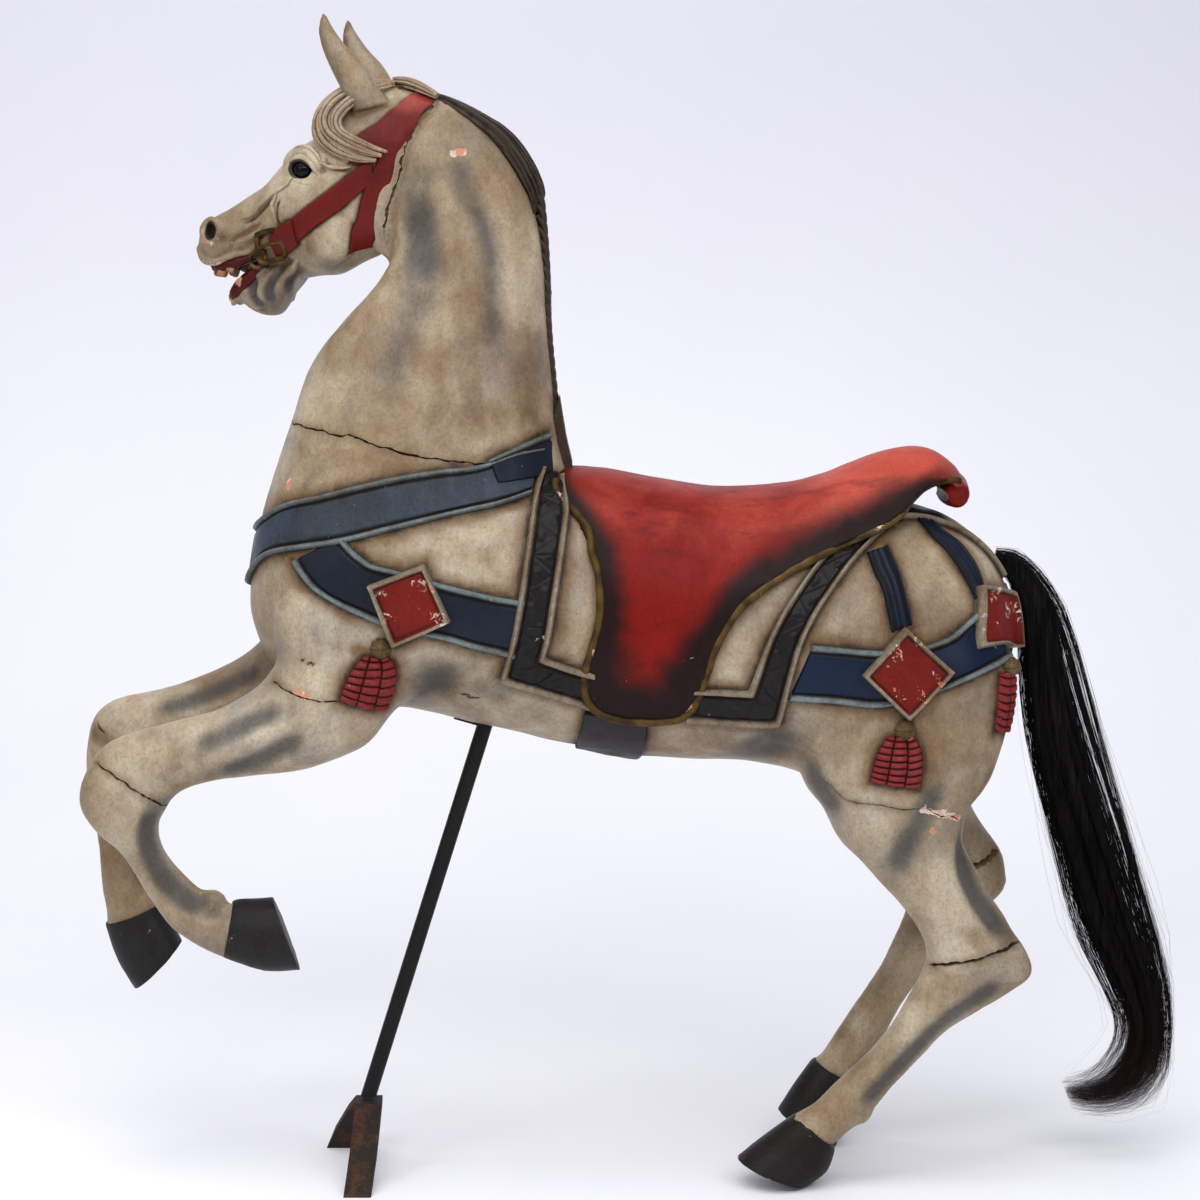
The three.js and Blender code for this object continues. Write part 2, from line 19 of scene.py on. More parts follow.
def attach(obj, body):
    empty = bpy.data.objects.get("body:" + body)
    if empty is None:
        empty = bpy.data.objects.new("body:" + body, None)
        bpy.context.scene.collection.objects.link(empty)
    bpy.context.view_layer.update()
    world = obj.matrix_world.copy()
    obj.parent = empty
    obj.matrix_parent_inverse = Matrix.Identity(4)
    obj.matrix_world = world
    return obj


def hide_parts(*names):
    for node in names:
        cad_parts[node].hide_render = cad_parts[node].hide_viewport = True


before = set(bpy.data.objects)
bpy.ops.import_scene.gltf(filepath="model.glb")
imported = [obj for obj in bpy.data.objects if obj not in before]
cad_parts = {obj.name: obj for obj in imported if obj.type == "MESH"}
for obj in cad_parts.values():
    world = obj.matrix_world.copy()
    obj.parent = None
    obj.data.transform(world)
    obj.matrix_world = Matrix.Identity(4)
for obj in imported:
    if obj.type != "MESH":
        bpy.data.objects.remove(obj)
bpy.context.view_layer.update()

LOG = logging.getLogger("carousel_horse")
Rows = Sequence[Sequence[float]]
Triple = tuple[float, float, float]
Points = Sequence[Triple]

SHIFT_X = 10.0
HEAD_YAW = math.radians(12)
HEAD_PIVOT_X = -230.0
SIDES = (-1, 1)  # left and right
SHADE_SPREAD = 1.4  # strokes with grey shading reach this much wider than their width


# ------------------------------------------------------------------ shapes of the carved horse
# A section is (topX, topZ, bottomX, bottomZ, middleY, halfWidth, widestAt, topRoundness,
# bottomRoundness); the last three are left out where the section is a plain oval.
TRUNK: Rows = (
    (-255, 1185, -295, 1028, 0, 36, 0.45),
    (-217, 1186, -267, 1007, 0, 41),
    (-169, 1155, -287, 976, 0, 49),
    (-133, 1112, -316, 947, 0, 58),
    (-109, 1062, -344, 914, 0, 66, 0.52),
    (-100, 1006, -363, 878, 0, 75, 0.54),
    (-97, 947, -377, 838, 0, 86, 0.56, 2, 2.1),
    (-92, 887, -393, 786, 0, 98, 0.56, 2, 2.2),
    (-86, 827, -408, 742, 0, 110, 0.55, 2, 2.3),
    (-67, 775, -420, 684, 0, 122, 0.53, 2, 2.4),
    (-18, 768, -422, 627, 0, 130, 0.5, 2.1, 2.4),
    (31, 759, -398, 567, 0, 134, 0.5, 2.2, 2.3),
    (70, 754, -338, 527, 0, 134, 0.5, 2.2, 2.2),
    (108, 750, -255, 523, 0, 132, 0.5, 2.2, 2.2),
    (141, 750, -173, 505, 0, 131, 0.5, 2.2, 2.2),
    (188, 753, -10, 471, 0, 136, 0.5, 2.2, 2.2),
    (236, 753, 140, 461, 0, 138, 0.49, 2.2, 2.2),
    (281, 747, 217, 433, 0, 133, 0.47, 2.2, 2.2),
    (319, 738, 254, 422, 0, 126, 0.46, 2.2, 2.2),
    (357, 719, 290, 428, 0, 114, 0.45, 2.2, 2.2),
    (388, 689, 326, 445, 0, 95, 0.45, 2.2, 2.2),
    (409, 645, 353, 467, 0, 70, 0.45, 2.1, 2.1),
    (416, 596, 378, 495, 0, 38),
)
HIND_LEFT: Rows = (
    (223, 640, 365, 640, -58, 48),
    (187, 550, 407, 570, -66, 57),
    (173, 491, 397, 494, -70, 60),
    (180, 450, 380, 449, -73, 56),
    (201, 424, 363, 422, -75, 50),
    (218, 390, 356, 396, -77, 44),
    (244, 363, 359, 377, -78, 38),
    (275, 329, 378, 337, -79, 32),
    (302, 296, 406, 294, -80, 29),
    (314, 268, 427, 261, -80, 28),
    (311, 246, 430, 237, -80, 27),
    (296, 216, 396, 213, -80, 24),
    (277, 182, 344, 181, -80, 20),
    (250, 149, 315, 151, -80, 19),
    (217, 117, 283, 117, -78, 20),
    (196, 94, 258, 85, -77, 23),
    (179, 83, 236, 64, -76, 23),
    (165, 76, 215, 45, -75, 25),
)
HIND_RIGHT: Rows = (
    (224, 632, 372, 632, 58, 48),
    (202, 541, 403, 558, 66, 57),
    (203, 483, 394, 486, 70, 56),
    (226, 443, 388, 446, 73, 50),
    (249, 414, 378, 411, 75, 44),
    (267, 385, 385, 388, 76, 36),
    (285, 349, 400, 367, 78, 31),
    (300, 314, 417, 343, 79, 29),
    (310, 285, 423, 318, 80, 28),
    (307, 268, 420, 297, 80, 27),
    (295, 238, 389, 268, 80, 23),
    (281, 208, 355, 233, 80, 20),
    (260, 175, 332, 201, 80, 19),
    (238, 141, 306, 162, 80, 20),
    (222, 115, 284, 123, 80, 23),
    (213, 103, 268, 100, 80, 23),
    (199, 93, 251, 74, 80, 25),
)
FORE_LEFT: Rows = (
    (-363, 627, -224, 550, -68, 56),
    (-395, 571, -261, 528, -76, 54),
    (-417, 550, -293, 492, -81, 48),
    (-454, 531, -353, 468, -84, 42),
    (-497, 519, -417, 460, -85, 37),
    (-541, 508, -466, 452, -85, 33),
    (-575, 492, -496, 440, -85, 31),
    (-597, 459, -509, 421, -85, 31),
    (-602, 426, -516, 409, -85, 29),
    (-586, 400, -516, 391, -85, 24),
    (-562, 378, -509, 374, -85, 20),
    (-544, 352, -497, 358, -85, 19),
    (-527, 323, -480, 341, -85, 19),
    (-507, 295, -463, 328, -85, 21),
    (-485, 278, -450, 317, -85, 23),
    (-462, 265, -439, 317, -85, 24),
    (-440, 256, -429, 323, -85, 26),
)
FORE_RIGHT: Rows = (
    (-377, 643, -232, 541, 68, 56),
    (-422, 585, -300, 517, 78, 52),
    (-453, 562, -346, 487, 82, 46),
    (-499, 541, -420, 470, 84, 40),
    (-545, 526, -483, 458, 85, 35),
    (-587, 517, -523, 444, 85, 32),
    (-612, 499, -541, 426, 85, 31),
    (-622, 467, -547, 406, 85, 31),
    (-624, 433, -553, 391, 85, 29),
    (-619, 394, -558, 375, 85, 24),
    (-613, 360, -559, 354, 85, 20),
    (-611, 325, -562, 328, 85, 19),
    (-608, 293, -559, 301, 85, 21),
    (-604, 272, -546, 286, 85, 23),
    (-604, 249, -540, 270, 85, 25),
)
HOOVES: Sequence[Rows] = (
    ((179, 80, 218, 44, -74, 27), (171, 78, 217, 36, -74, 28), (140, 55, 209, 16, -74, 32),
     (111, 31, 187, 0, -74, 36)),
    ((206, 100, 252, 72, 74, 27), (200, 95, 251, 66, 74, 28), (182, 69, 243, 36, 74, 32),
     (165, 41, 232, 0, 74, 36)),
    ((-450, 260, -438, 321, -85, 27), (-440, 256, -431, 323, -85, 29), (-405, 245, -412, 324, -85, 33),
     (-366, 246, -395, 325, -85, 36)),
    ((-606, 257, -543, 281, 85, 27), (-604, 247, -540, 274, 85, 29), (-593, 214, -528, 254, 85, 33),
     (-574, 181, -519, 237, 85, 36)),
)
# The head's sections, drawn straight.
SKULL: Rows = (
    (-234, 1191, -263, 1022, 0, 38, 0.4),
    (-265, 1198, -271, 1020, 0, 44, 0.4),
    (-296, 1194, -297, 1010, 0, 50, 0.45, 2, 2.2),
    (-321, 1175, -324, 996, 0, 54, 0.5, 2, 2.2),
    (-338, 1152, -347, 994, 0, 55, 0.48, 2.1, 2.2),
    (-362, 1136, -368, 992, 0, 53, 0.45, 2.2, 2.1),
    (-384, 1117, -390, 998, 0, 47, 0.45, 2.2, 2.1),
    (-406, 1094, -408, 1005, 0, 40, 0.5, 2.1, 2.2),
    (-428, 1080, -423, 1014, 0, 36, 0.52, 2.1, 2.4),
    (-449, 1067, -438, 1016, 0, 35, 0.55, 2.1, 2.6),
    (-468, 1057, -452, 1010, 0, 35, 0.55, 2.2, 2.6),
    (-480, 1045, -464, 1004, 0, 31, 0.55, 2.2, 2.4),
    (-485, 1024, -473, 1004, 0, 20),
)
LOWER_JAW: Rows = (
    (-360, 1022, -368, 991, 0, 40),
    (-383, 1014, -375, 979, 0, 34, 0.5, 2.2, 2.2),
    (-404, 1009, -384, 965, 0, 31, 0.5, 2.2, 2.2),
    (-420, 1003, -395, 952, 0, 29, 0.5, 2.2, 2.2),
    (-434, 991, -414, 952, 0, 28, 0.5, 2.2, 2.2),
    (-443, 977, -430, 962, 0, 22, 0.5, 2.2, 2.2),
    (-447, 971, -441, 965, 0, 10),
)
EAR: Rows = (
    (-298, 1168, -260, 1178, 33, 13),
    (-314, 1200, -274, 1202, 38, 15),
    (-327, 1228, -289, 1224, 41, 13),
    (-333, 1249, -306, 1241, 43, 9.5),
    (-332, 1263, -318, 1258, 44, 5.5),
    (-329, 1273, -325, 1272, 44, 1.5),
)
EYE = (-352.0, 42.0, 1108.0)
NOSTRIL = (-463.0, 34.0, 1044.0)


# ------------------------------------------------------------------ numbers and curves
def turn_head(points: np.ndarray, yaw: float = HEAD_YAW) -> np.ndarray:
    """Turns points of the straight head to where the head looks, or back by the negative yaw.

    Args:
        points: N x 3 millimetres.
        yaw: The turn in radians.

    Returns:
        The turned N x 3 points.
    """
    reach, y = points[:, 0] - HEAD_PIVOT_X, points[:, 1]
    c, s = math.cos(yaw), math.sin(yaw)
    return np.stack([HEAD_PIVOT_X + reach * c + y * s, y * c - reach * s, points[:, 2]], 1)


def leaned(points: np.ndarray, tilt: float) -> np.ndarray:
    """The points leaned by `tilt` radians about the Y axis."""
    c, s = math.cos(tilt), math.sin(tilt)
    return np.stack([points[:, 0] * c + points[:, 2] * s, points[:, 1],
                     points[:, 2] * c - points[:, 0] * s], 1)


def around(count: int) -> np.ndarray:
    """Equally spaced angles of one turn."""
    return np.arange(count) * 2 * math.pi / count


def as_points(rows: np.ndarray) -> Points:
    """Rows of an array as tuples."""
    return tuple(map(tuple, rows))


def mirrored(points: Points) -> np.ndarray:
    """The same points on the horse's other side."""
    return np.array(points, float) * (1, -1, 1)


def on_side(rows: Rows, side: int) -> list[tuple[float, ...]]:
    """Rows (x, y, ...) that are drawn on the left, on the left (-1) or right (1) side."""
    return [(x, -side * y, *rest) for x, y, *rest in rows]


def sided(name: str, side: int) -> str:
    """The name with its side (-1 left, 1 right) at the end."""
    return f"{name}_{'left' if side < 0 else 'right'}"


def to_metres(points: np.ndarray) -> np.ndarray:
    """Drawing millimetres as metres in the CAD frame."""
    return (points + (SHIFT_X, 0, 0)) * 0.001


def to_millimetres(points: np.ndarray) -> np.ndarray:
    """CAD-frame metres as drawing millimetres."""
    return points * 1000.0 - (SHIFT_X, 0, 0)


def smooth_rows(rows: Rows | np.ndarray, steps: int) -> np.ndarray:
    """Carries rows of numbers smoothly through each given row (Catmull-Rom).

    Args:
        rows: The rows, all of one length.
        steps: New rows per span.

    Returns:
        The finer rows, ends included.
    """
    table = np.array(rows, float)
    padded = np.vstack([table[:1], table, table[-1:]])
    out = []
    for i in range(1, len(padded) - 2):
        a, b, c, d = padded[i - 1:i + 3]
        for t in np.arange(steps) / steps:
            out.append(0.5 * (2 * b + (c - a) * t + (2 * a - 5 * b + 4 * c - d) * t * t
                              + (3 * b - a - 3 * c + d) * t ** 3))
    out.append(table[-1])
    return np.array(out)


def run_length(path: np.ndarray) -> np.ndarray:
    """The distance along a polyline at each of its points."""
    return np.concatenate([[0], np.cumsum(np.linalg.norm(np.diff(path, axis=0), axis=1))])


def resampled(path: np.ndarray, count: int) -> np.ndarray:
    """The polyline again with `count` points at equal spacing."""
    along = run_length(path)
    wanted = np.linspace(0, along[-1], count)
    return np.stack([np.interp(wanted, along, path[:, k]) for k in range(path.shape[1])], 1)


def coarse(path: np.ndarray, gap: float) -> Points:
    """The polyline again with points about `gap` millimetres apart, as tuples."""
    return as_points(resampled(path, max(3, int(path_length(path) / gap))))


def path_length(path: np.ndarray) -> float:
    """Length of a polyline."""
    return float(np.linalg.norm(np.diff(path, axis=0), axis=1).sum())


def unit(vectors: np.ndarray) -> np.ndarray:
    """Rows scaled to length one."""
    return vectors / np.maximum(np.linalg.norm(vectors, axis=-1, keepdims=True), 1e-9)


def ease(t: np.ndarray | float) -> np.ndarray:
    """Smooth step from 0 to 1."""
    t = np.clip(t, 0, 1)
    return t * t * (3 - 2 * t)


def distance_to_path(points: np.ndarray, path: np.ndarray, reach: float) -> np.ndarray:
    """Distance from each point to a polyline, infinite where it is beyond reach.

    Args:
        points: N x 3.
        path: The polyline.
        reach: Longest distance of interest.

    Returns:
        N distances.
    """
    found = np.full(len(points), np.inf)
    chosen = np.nonzero(((points > path.min(0) - reach) & (points < path.max(0) + reach)).all(1))[0]
    local = points[chosen]
    best = np.full(len(local), np.inf)
    for a, b in zip(path[:-1], path[1:]):
        low, high = np.minimum(a, b) - reach, np.maximum(a, b) + reach
        near = np.nonzero(((local > low) & (local < high)).all(1))[0]
        if not len(near):
            continue
        span = b - a
        t = np.clip(((local[near] - a) @ span) / max(span @ span, 1e-9), 0, 1)
        gap = np.linalg.norm(local[near] - a - t[:, None] * span, axis=1)
        best[near] = np.minimum(best[near], gap)
    found[chosen] = best
    return found


def value_noise(points: np.ndarray, size: float, seed: int) -> np.ndarray:
    """Smooth random values from -1 to 1 over space.

    Args:
        points: N x 3 millimetres.
        size: Width of a lump in millimetres.
        seed: Which pattern.

    Returns:
        N values.
    """
    rng = np.random.default_rng(seed)
    total = np.zeros(len(points))
    for _ in range(5):
        direction = rng.normal(size=3)
        direction /= np.linalg.norm(direction)
        other = rng.normal(size=3)
        phase, bend = rng.uniform(0, 6.28, 2)
        warp = np.sin(points @ other / (size * 0.9) + bend)
        total += np.sin(points @ direction * (2 * math.pi / (size * 1.6)) + phase + warp)
    return total / 3.2


# ------------------------------------------------------------------ meshes
def select_only(obj: bpy.types.Object) -> None:
    """Makes obj the one selected and active object."""
    bpy.ops.object.select_all(action="DESELECT")
    obj.select_set(True)
    bpy.context.view_layer.objects.active = obj


def new_mesh(name: str, points: np.ndarray, faces: Sequence[Sequence[int]]) -> bpy.types.Object:
    """Makes a mesh object from drawing points.

    Args:
        name: The object's name.
        points: N x 3 millimetres.
        faces: Corner indices of each face.

    Returns:
        The linked object at the origin, its faces turned outwards.
    """
    mesh = bpy.data.meshes.new(name)
    mesh.from_pydata(to_metres(points).tolist(), [], [list(map(int, f)) for f in faces])
    obj = bpy.data.objects.new(name, mesh)
    bpy.context.scene.collection.objects.link(obj)
    face_out(obj)
    return obj


def face_out(obj: bpy.types.Object) -> None:
    """Recalculates the normals of a closed mesh to point outwards."""
    select_only(obj)
    bpy.ops.object.mode_set(mode="EDIT")
    bpy.ops.mesh.select_all(action="SELECT")
    bpy.ops.mesh.normals_make_consistent(inside=False)
    bpy.ops.object.mode_set(mode="OBJECT")


def joined(name: str, parts: Sequence[bpy.types.Object]) -> bpy.types.Object:
    """Joins objects into the first of them.

    Args:
        name: Name of the joined object.
        parts: The objects.

    Returns:
        The one object that is left.
    """
    bpy.ops.object.select_all(action="DESELECT")
    for part in parts:
        part.select_set(True)
    bpy.context.view_layer.objects.active = parts[0]
    if len(parts) > 1:
        bpy.ops.object.join()
    parts[0].name = name
    parts[0].data.name = name
    return parts[0]


def apply_modifier(obj: bpy.types.Object, kind: str, **settings: object) -> None:
    """Adds one modifier and applies it.

    Args:
        obj: The object.
        kind: The modifier's type.
        **settings: Its properties.
    """
    select_only(obj)
    modifier = obj.modifiers.new(kind.title(), kind)
    for key, value in settings.items():
        setattr(modifier, key, value)
    bpy.ops.object.modifier_apply(modifier=modifier.name)


def cut(obj: bpy.types.Object, tool: bpy.types.Object, operation: str = "DIFFERENCE") -> None:
    """Applies one boolean and removes its tool.

    Args:
        obj: The object that stays.
        tool: The object that is used up.
        operation: DIFFERENCE, INTERSECT or UNION.
    """
    apply_modifier(obj, "BOOLEAN", object=tool, operation=operation, solver="MANIFOLD")
    bpy.data.objects.remove(tool, do_unlink=True)


def shade(obj: bpy.types.Object, degrees: float = 40) -> bpy.types.Object:
    """Smooth shading with edges kept above an angle."""
    select_only(obj)
    bpy.ops.object.shade_smooth_by_angle(angle=math.radians(degrees))
    return obj


def read_points(obj: bpy.types.Object) -> np.ndarray:
    """The object's vertices in drawing millimetres."""
    flat = np.empty(len(obj.data.vertices) * 3)
    obj.data.vertices.foreach_get("co", flat)
    return to_millimetres(flat.reshape(-1, 3))


def write_points(obj: bpy.types.Object, points: np.ndarray) -> None:
    """Moves the object's vertices to these drawing points."""
    obj.data.vertices.foreach_set("co", to_metres(points).ravel())
    obj.data.update()


def read_normals(obj: bpy.types.Object) -> np.ndarray:
    """The object's vertex normals."""
    flat = np.empty(len(obj.data.vertices) * 3)
    obj.data.vertex_normals.foreach_get("vector", flat)
    return flat.reshape(-1, 3)


def closed_skin(rings: np.ndarray) -> tuple[np.ndarray, list[tuple[int, ...]]]:
    """Joins equal rings of points into a closed skin.

    Args:
        rings: R x S x 3 points.

    Returns:
        Points and faces, with a fan over each end.
    """
    count, sides = rings.shape[:2]
    points = np.vstack([rings.reshape(-1, 3), rings[0].mean(0), rings[-1].mean(0)])
    faces: list[tuple[int, ...]] = []
    for r in range(count - 1):
        for i in range(sides):
            j = (i + 1) % sides
            faces.append((r * sides + i, r * sides + j, (r + 1) * sides + j, (r + 1) * sides + i))
    last = (count - 1) * sides
    for i in range(sides):
        j = (i + 1) % sides
        faces.append((count * sides, j, i))
        faces.append((count * sides + 1, last + i, last + j))
    return points, faces


@dataclass(frozen=True)
class Loft:
    """A closed body through carving sections."""

    rows: Rows
    sides: int = 56
    steps: int = 7
    turned: bool = False

    def rings(self, grow: float = 0.0) -> np.ndarray:
        """The loft's rings of points, grown outwards by `grow` millimetres."""
        full = [tuple(r) + (0.5, 2, 2)[max(0, len(r) - 6):] for r in self.rows]
        angle = around(self.sides)
        c, s = np.cos(angle), np.sin(angle)
        out = []
        for tx, tz, bx, bz, y, half, widest, up, down in smooth_rows(full, self.steps):
            length = math.hypot(bx - tx, bz - tz)
            ux, uz = (bx - tx) / length, (bz - tz) / length
            bend = np.where(c >= 0, 2 / up, 2 / down)
            power = np.abs(c) ** bend
            along = np.where(c >= 0, widest * (1 - power), widest + (1 - widest) * power)
            reach = along * (length + 2 * grow) - grow
            across = np.sign(s) * np.abs(s) ** bend
            out.append(np.stack([tx + ux * reach, y + (half + grow) * across, tz + uz * reach], 1))
        return np.array(out)

    def build(self, name: str, grow: float = 0.0) -> bpy.types.Object:
        """The loft as a closed object."""
        points, faces = closed_skin(self.rings(grow))
        return new_mesh(name, turn_head(points) if self.turned else points, faces)


@dataclass(frozen=True)
class Tube:
    """A lock, cord or lump swept through knots (x, y, z, half across, half high)."""

    knots: Rows
    sides: int = 16
    steps: int = 6
    turned: bool = False
    ridges: int = 0
    ridge_depth: float = 0.0
    twist: float = 0.0

    def build(self, name: str) -> bpy.types.Object:
        """The tube as a closed object."""
        rows = smooth_rows(self.knots, self.steps)
        centre = rows[:, :3]
        along = unit(np.gradient(centre, axis=0))
        side = unit(np.array((0.0, 1.0, 0.0)) - along * along[:, 1:2])
        over = np.cross(along, side)
        angle = around(self.sides)
        rings = []
        for i, row in enumerate(rows):
            swing = angle + self.twist * i / len(rows)
            ridge = 1 - self.ridge_depth * (0.5 + 0.5 * np.cos(self.ridges * angle)) if self.ridges else 1.0
            rings.append(row[:3] + np.outer(np.cos(swing) * row[3] * ridge, side[i])
                         + np.outer(np.sin(swing) * row[4] * ridge, over[i]))
        points, faces = closed_skin(np.array(rings))
        return new_mesh(name, turn_head(points) if self.turned else points, faces)


@dataclass(frozen=True)
class Ball:
    """An ellipsoid of clay or a hole's shape."""

    centre: Triple
    radii: Triple
    turned: bool = False
    tilt: float = 0.0

    def build(self, name: str) -> bpy.types.Object:
        """The ball as a closed object, leaned by `tilt` about the Y axis."""
        bpy.ops.object.select_all(action="DESELECT")
        bpy.ops.mesh.primitive_uv_sphere_add(segments=32, ring_count=18, radius=1)
        obj = bpy.context.active_object
        obj.name = name
        flat = np.empty(len(obj.data.vertices) * 3)
        obj.data.vertices.foreach_get("co", flat)
        local = leaned(flat.reshape(-1, 3) * self.radii, self.tilt) + self.centre
        write_points(obj, turn_head(local) if self.turned else local)
        return obj


def slab(name: str, outline: Sequence[tuple[float, float]], y0: float, y1: float, steps: int = 1,
         turned: bool = False) -> bpy.types.Object:
    """An outline of the side view carried across from y0 to y1.

    Args:
        name: The object's name.
        outline: (x, z) corners in order.
        y0: First side.
        y1: Other side.
        steps: Smooth points per corner; 1 keeps the corners.
        turned: Whether it belongs to the head.

    Returns:
        The closed object.
    """
    flat = np.array(outline, float)
    if steps > 1:
        flat = smooth_rows(np.vstack([flat, flat[:1]]), steps)[:-1]
    n = len(flat)
    points = np.vstack([np.insert(flat, 1, y, axis=1) for y in (y0, y1)])
    faces = [tuple(range(n)), tuple(range(2 * n - 1, n - 1, -1))]
    faces += [(i, i + n, (i + 1) % n + n, (i + 1) % n) for i in range(n)]
    return new_mesh(name, turn_head(points) if turned else points, faces)


class Surface:
    """The carved surface that straps, bosses and trims lie on."""

    def __init__(self, obj: bpy.types.Object) -> None:
        """Keeps a search tree of obj's faces."""
        graph = bpy.context.evaluated_depsgraph_get()
        self.tree = BVHTree.FromObject(obj, graph)

    def snap(self, points: np.ndarray) -> tuple[np.ndarray, np.ndarray]:
        """Nearest surface points to drawing points.

        Args:
            points: N x 3 millimetres.

        Returns:
            The points on the surface and the outward normals there.
        """
        spots, normals = np.empty_like(points), np.empty_like(points)
        for i, p in enumerate(to_metres(points)):
            spot, normal, _, _ = self.tree.find_nearest(Vector(p))
            spots[i], normals[i] = spot, normal
        return to_millimetres(spots), normals

    def lay(self, grid: np.ndarray, even: int, level: int) -> tuple[np.ndarray, np.ndarray]:
        """Lays a grid of points on the surface.

        Args:
            grid: R x C x 3 drawing points.
            even: Rounds of averaging for the points.
            level: Rounds of averaging for the normals.

        Returns:
            The grid on the surface and its outward normals.
        """
        spots, normals = self.snap(grid.reshape(-1, 3))
        normals = unit(smooth_grid(normals.reshape(grid.shape), level))
        return smooth_grid(spots.reshape(grid.shape), even), normals

    def from_side(self, x: float, z: float, side: int) -> float:
        """How far out (millimetres from the middle) a line from the side meets the surface, or 0."""
        start = Vector(to_metres(np.array([[x, side * 300.0, z]]))[0])
        hit, _, _, _ = self.tree.ray_cast(start, Vector((0, -side, 0)))
        return 0.0 if hit is None else float(hit[1]) * 1000 * side


# ------------------------------------------------------------------ carving and masks
class Mask(Enum):
    """Vertex masks that the finishes read."""

    SHADE = "shade"
    # dirt in grooves and joints, painted shade round the eyes, and the dark in and round the nostrils
    GRIME_AND_SHADE = "grime"
    BARE = "bare"
    WARM = "warm"
    EDGE = "edge"


@dataclass(frozen=True)
class Stroke:
    """One carved or brushed line.

    depth cuts in where positive and builds up where negative. firm is how flat the stroke's
    middle is, from 0 for a soft brush to 1 for a hard edge.
    """

    path: Points
    width: float
    depth: float = 0.0
    mask: Mask | None = None
    strength: float = 1.0
    both: bool = False
    turned: bool = False
    firm: float = 0.0
    taper: bool = True
    snap: bool = False


def brown(path: Points, width: float, strength: float, **rest: bool) -> Stroke:
    """A patch of brown varnish."""
    return Stroke(path, width, 0, Mask.WARM, strength, **rest)


def shadow(path: Points, width: float, depth: float, strength: float, **rest: object) -> Stroke:
    """A hollow with its brushed grey shadow."""
    return Stroke(path, width, depth, Mask.SHADE, strength, **rest)


def grime(path: Points, width: float, depth: float, strength: float, **rest: object) -> Stroke:
    """A line that has filled with dirt."""
    return Stroke(path, width, depth, Mask.GRIME_AND_SHADE, strength, **rest)


def bare(path: Points, width: float, depth: float, strength: float, **rest: object) -> Stroke:
    """A place where the paint is gone."""
    return Stroke(path, width, depth, Mask.BARE, strength, taper=False, **rest)


def on_both_cheeks(*strokes: Stroke) -> tuple[Stroke, ...]:
    """The strokes on both sides of the turned head."""
    return tuple(replace(stroke, both=True, turned=True) for stroke in strokes)


# The joint of head and neck behind the throat strap, carved in both, and the chips along it.
THROAT_JOINT = on_both_cheeks(
    grime(((-203, -16, 1188), (-206, -26, 1178), (-216, -37, 1164), (-229, -43, 1139), (-237, -45, 1118),
           (-242, -46, 1097), (-248, -46, 1076), (-254, -45, 1054), (-261, -41, 1033), (-270, -33, 1018)),
          7, 2.6, 1.0, firm=0.5, taper=False, snap=True),
    bare(((-240, -46, 1100), (-241, -46, 1094)), 3.5, 0, 0.8, snap=True),
    bare(((-229, -43, 1141), (-230, -43, 1134)), 3, 0, 0.8, snap=True),
    bare(((-252, -46, 1062), (-256, -45, 1048)), 3, 0, 0.75, snap=True),
)


# The open part of the same joint, where head and neck have come apart.
THROAT_SPLIT = as_points(turn_head(np.array((
    (-206, -16, 1188), (-209, -28, 1178), (-218, -38, 1164), (-232, -44, 1139), (-241, -46, 1118),
    (-247, -47, 1097), (-254, -47, 1076), (-261, -46, 1054), (-269, -42, 1033)), float)))


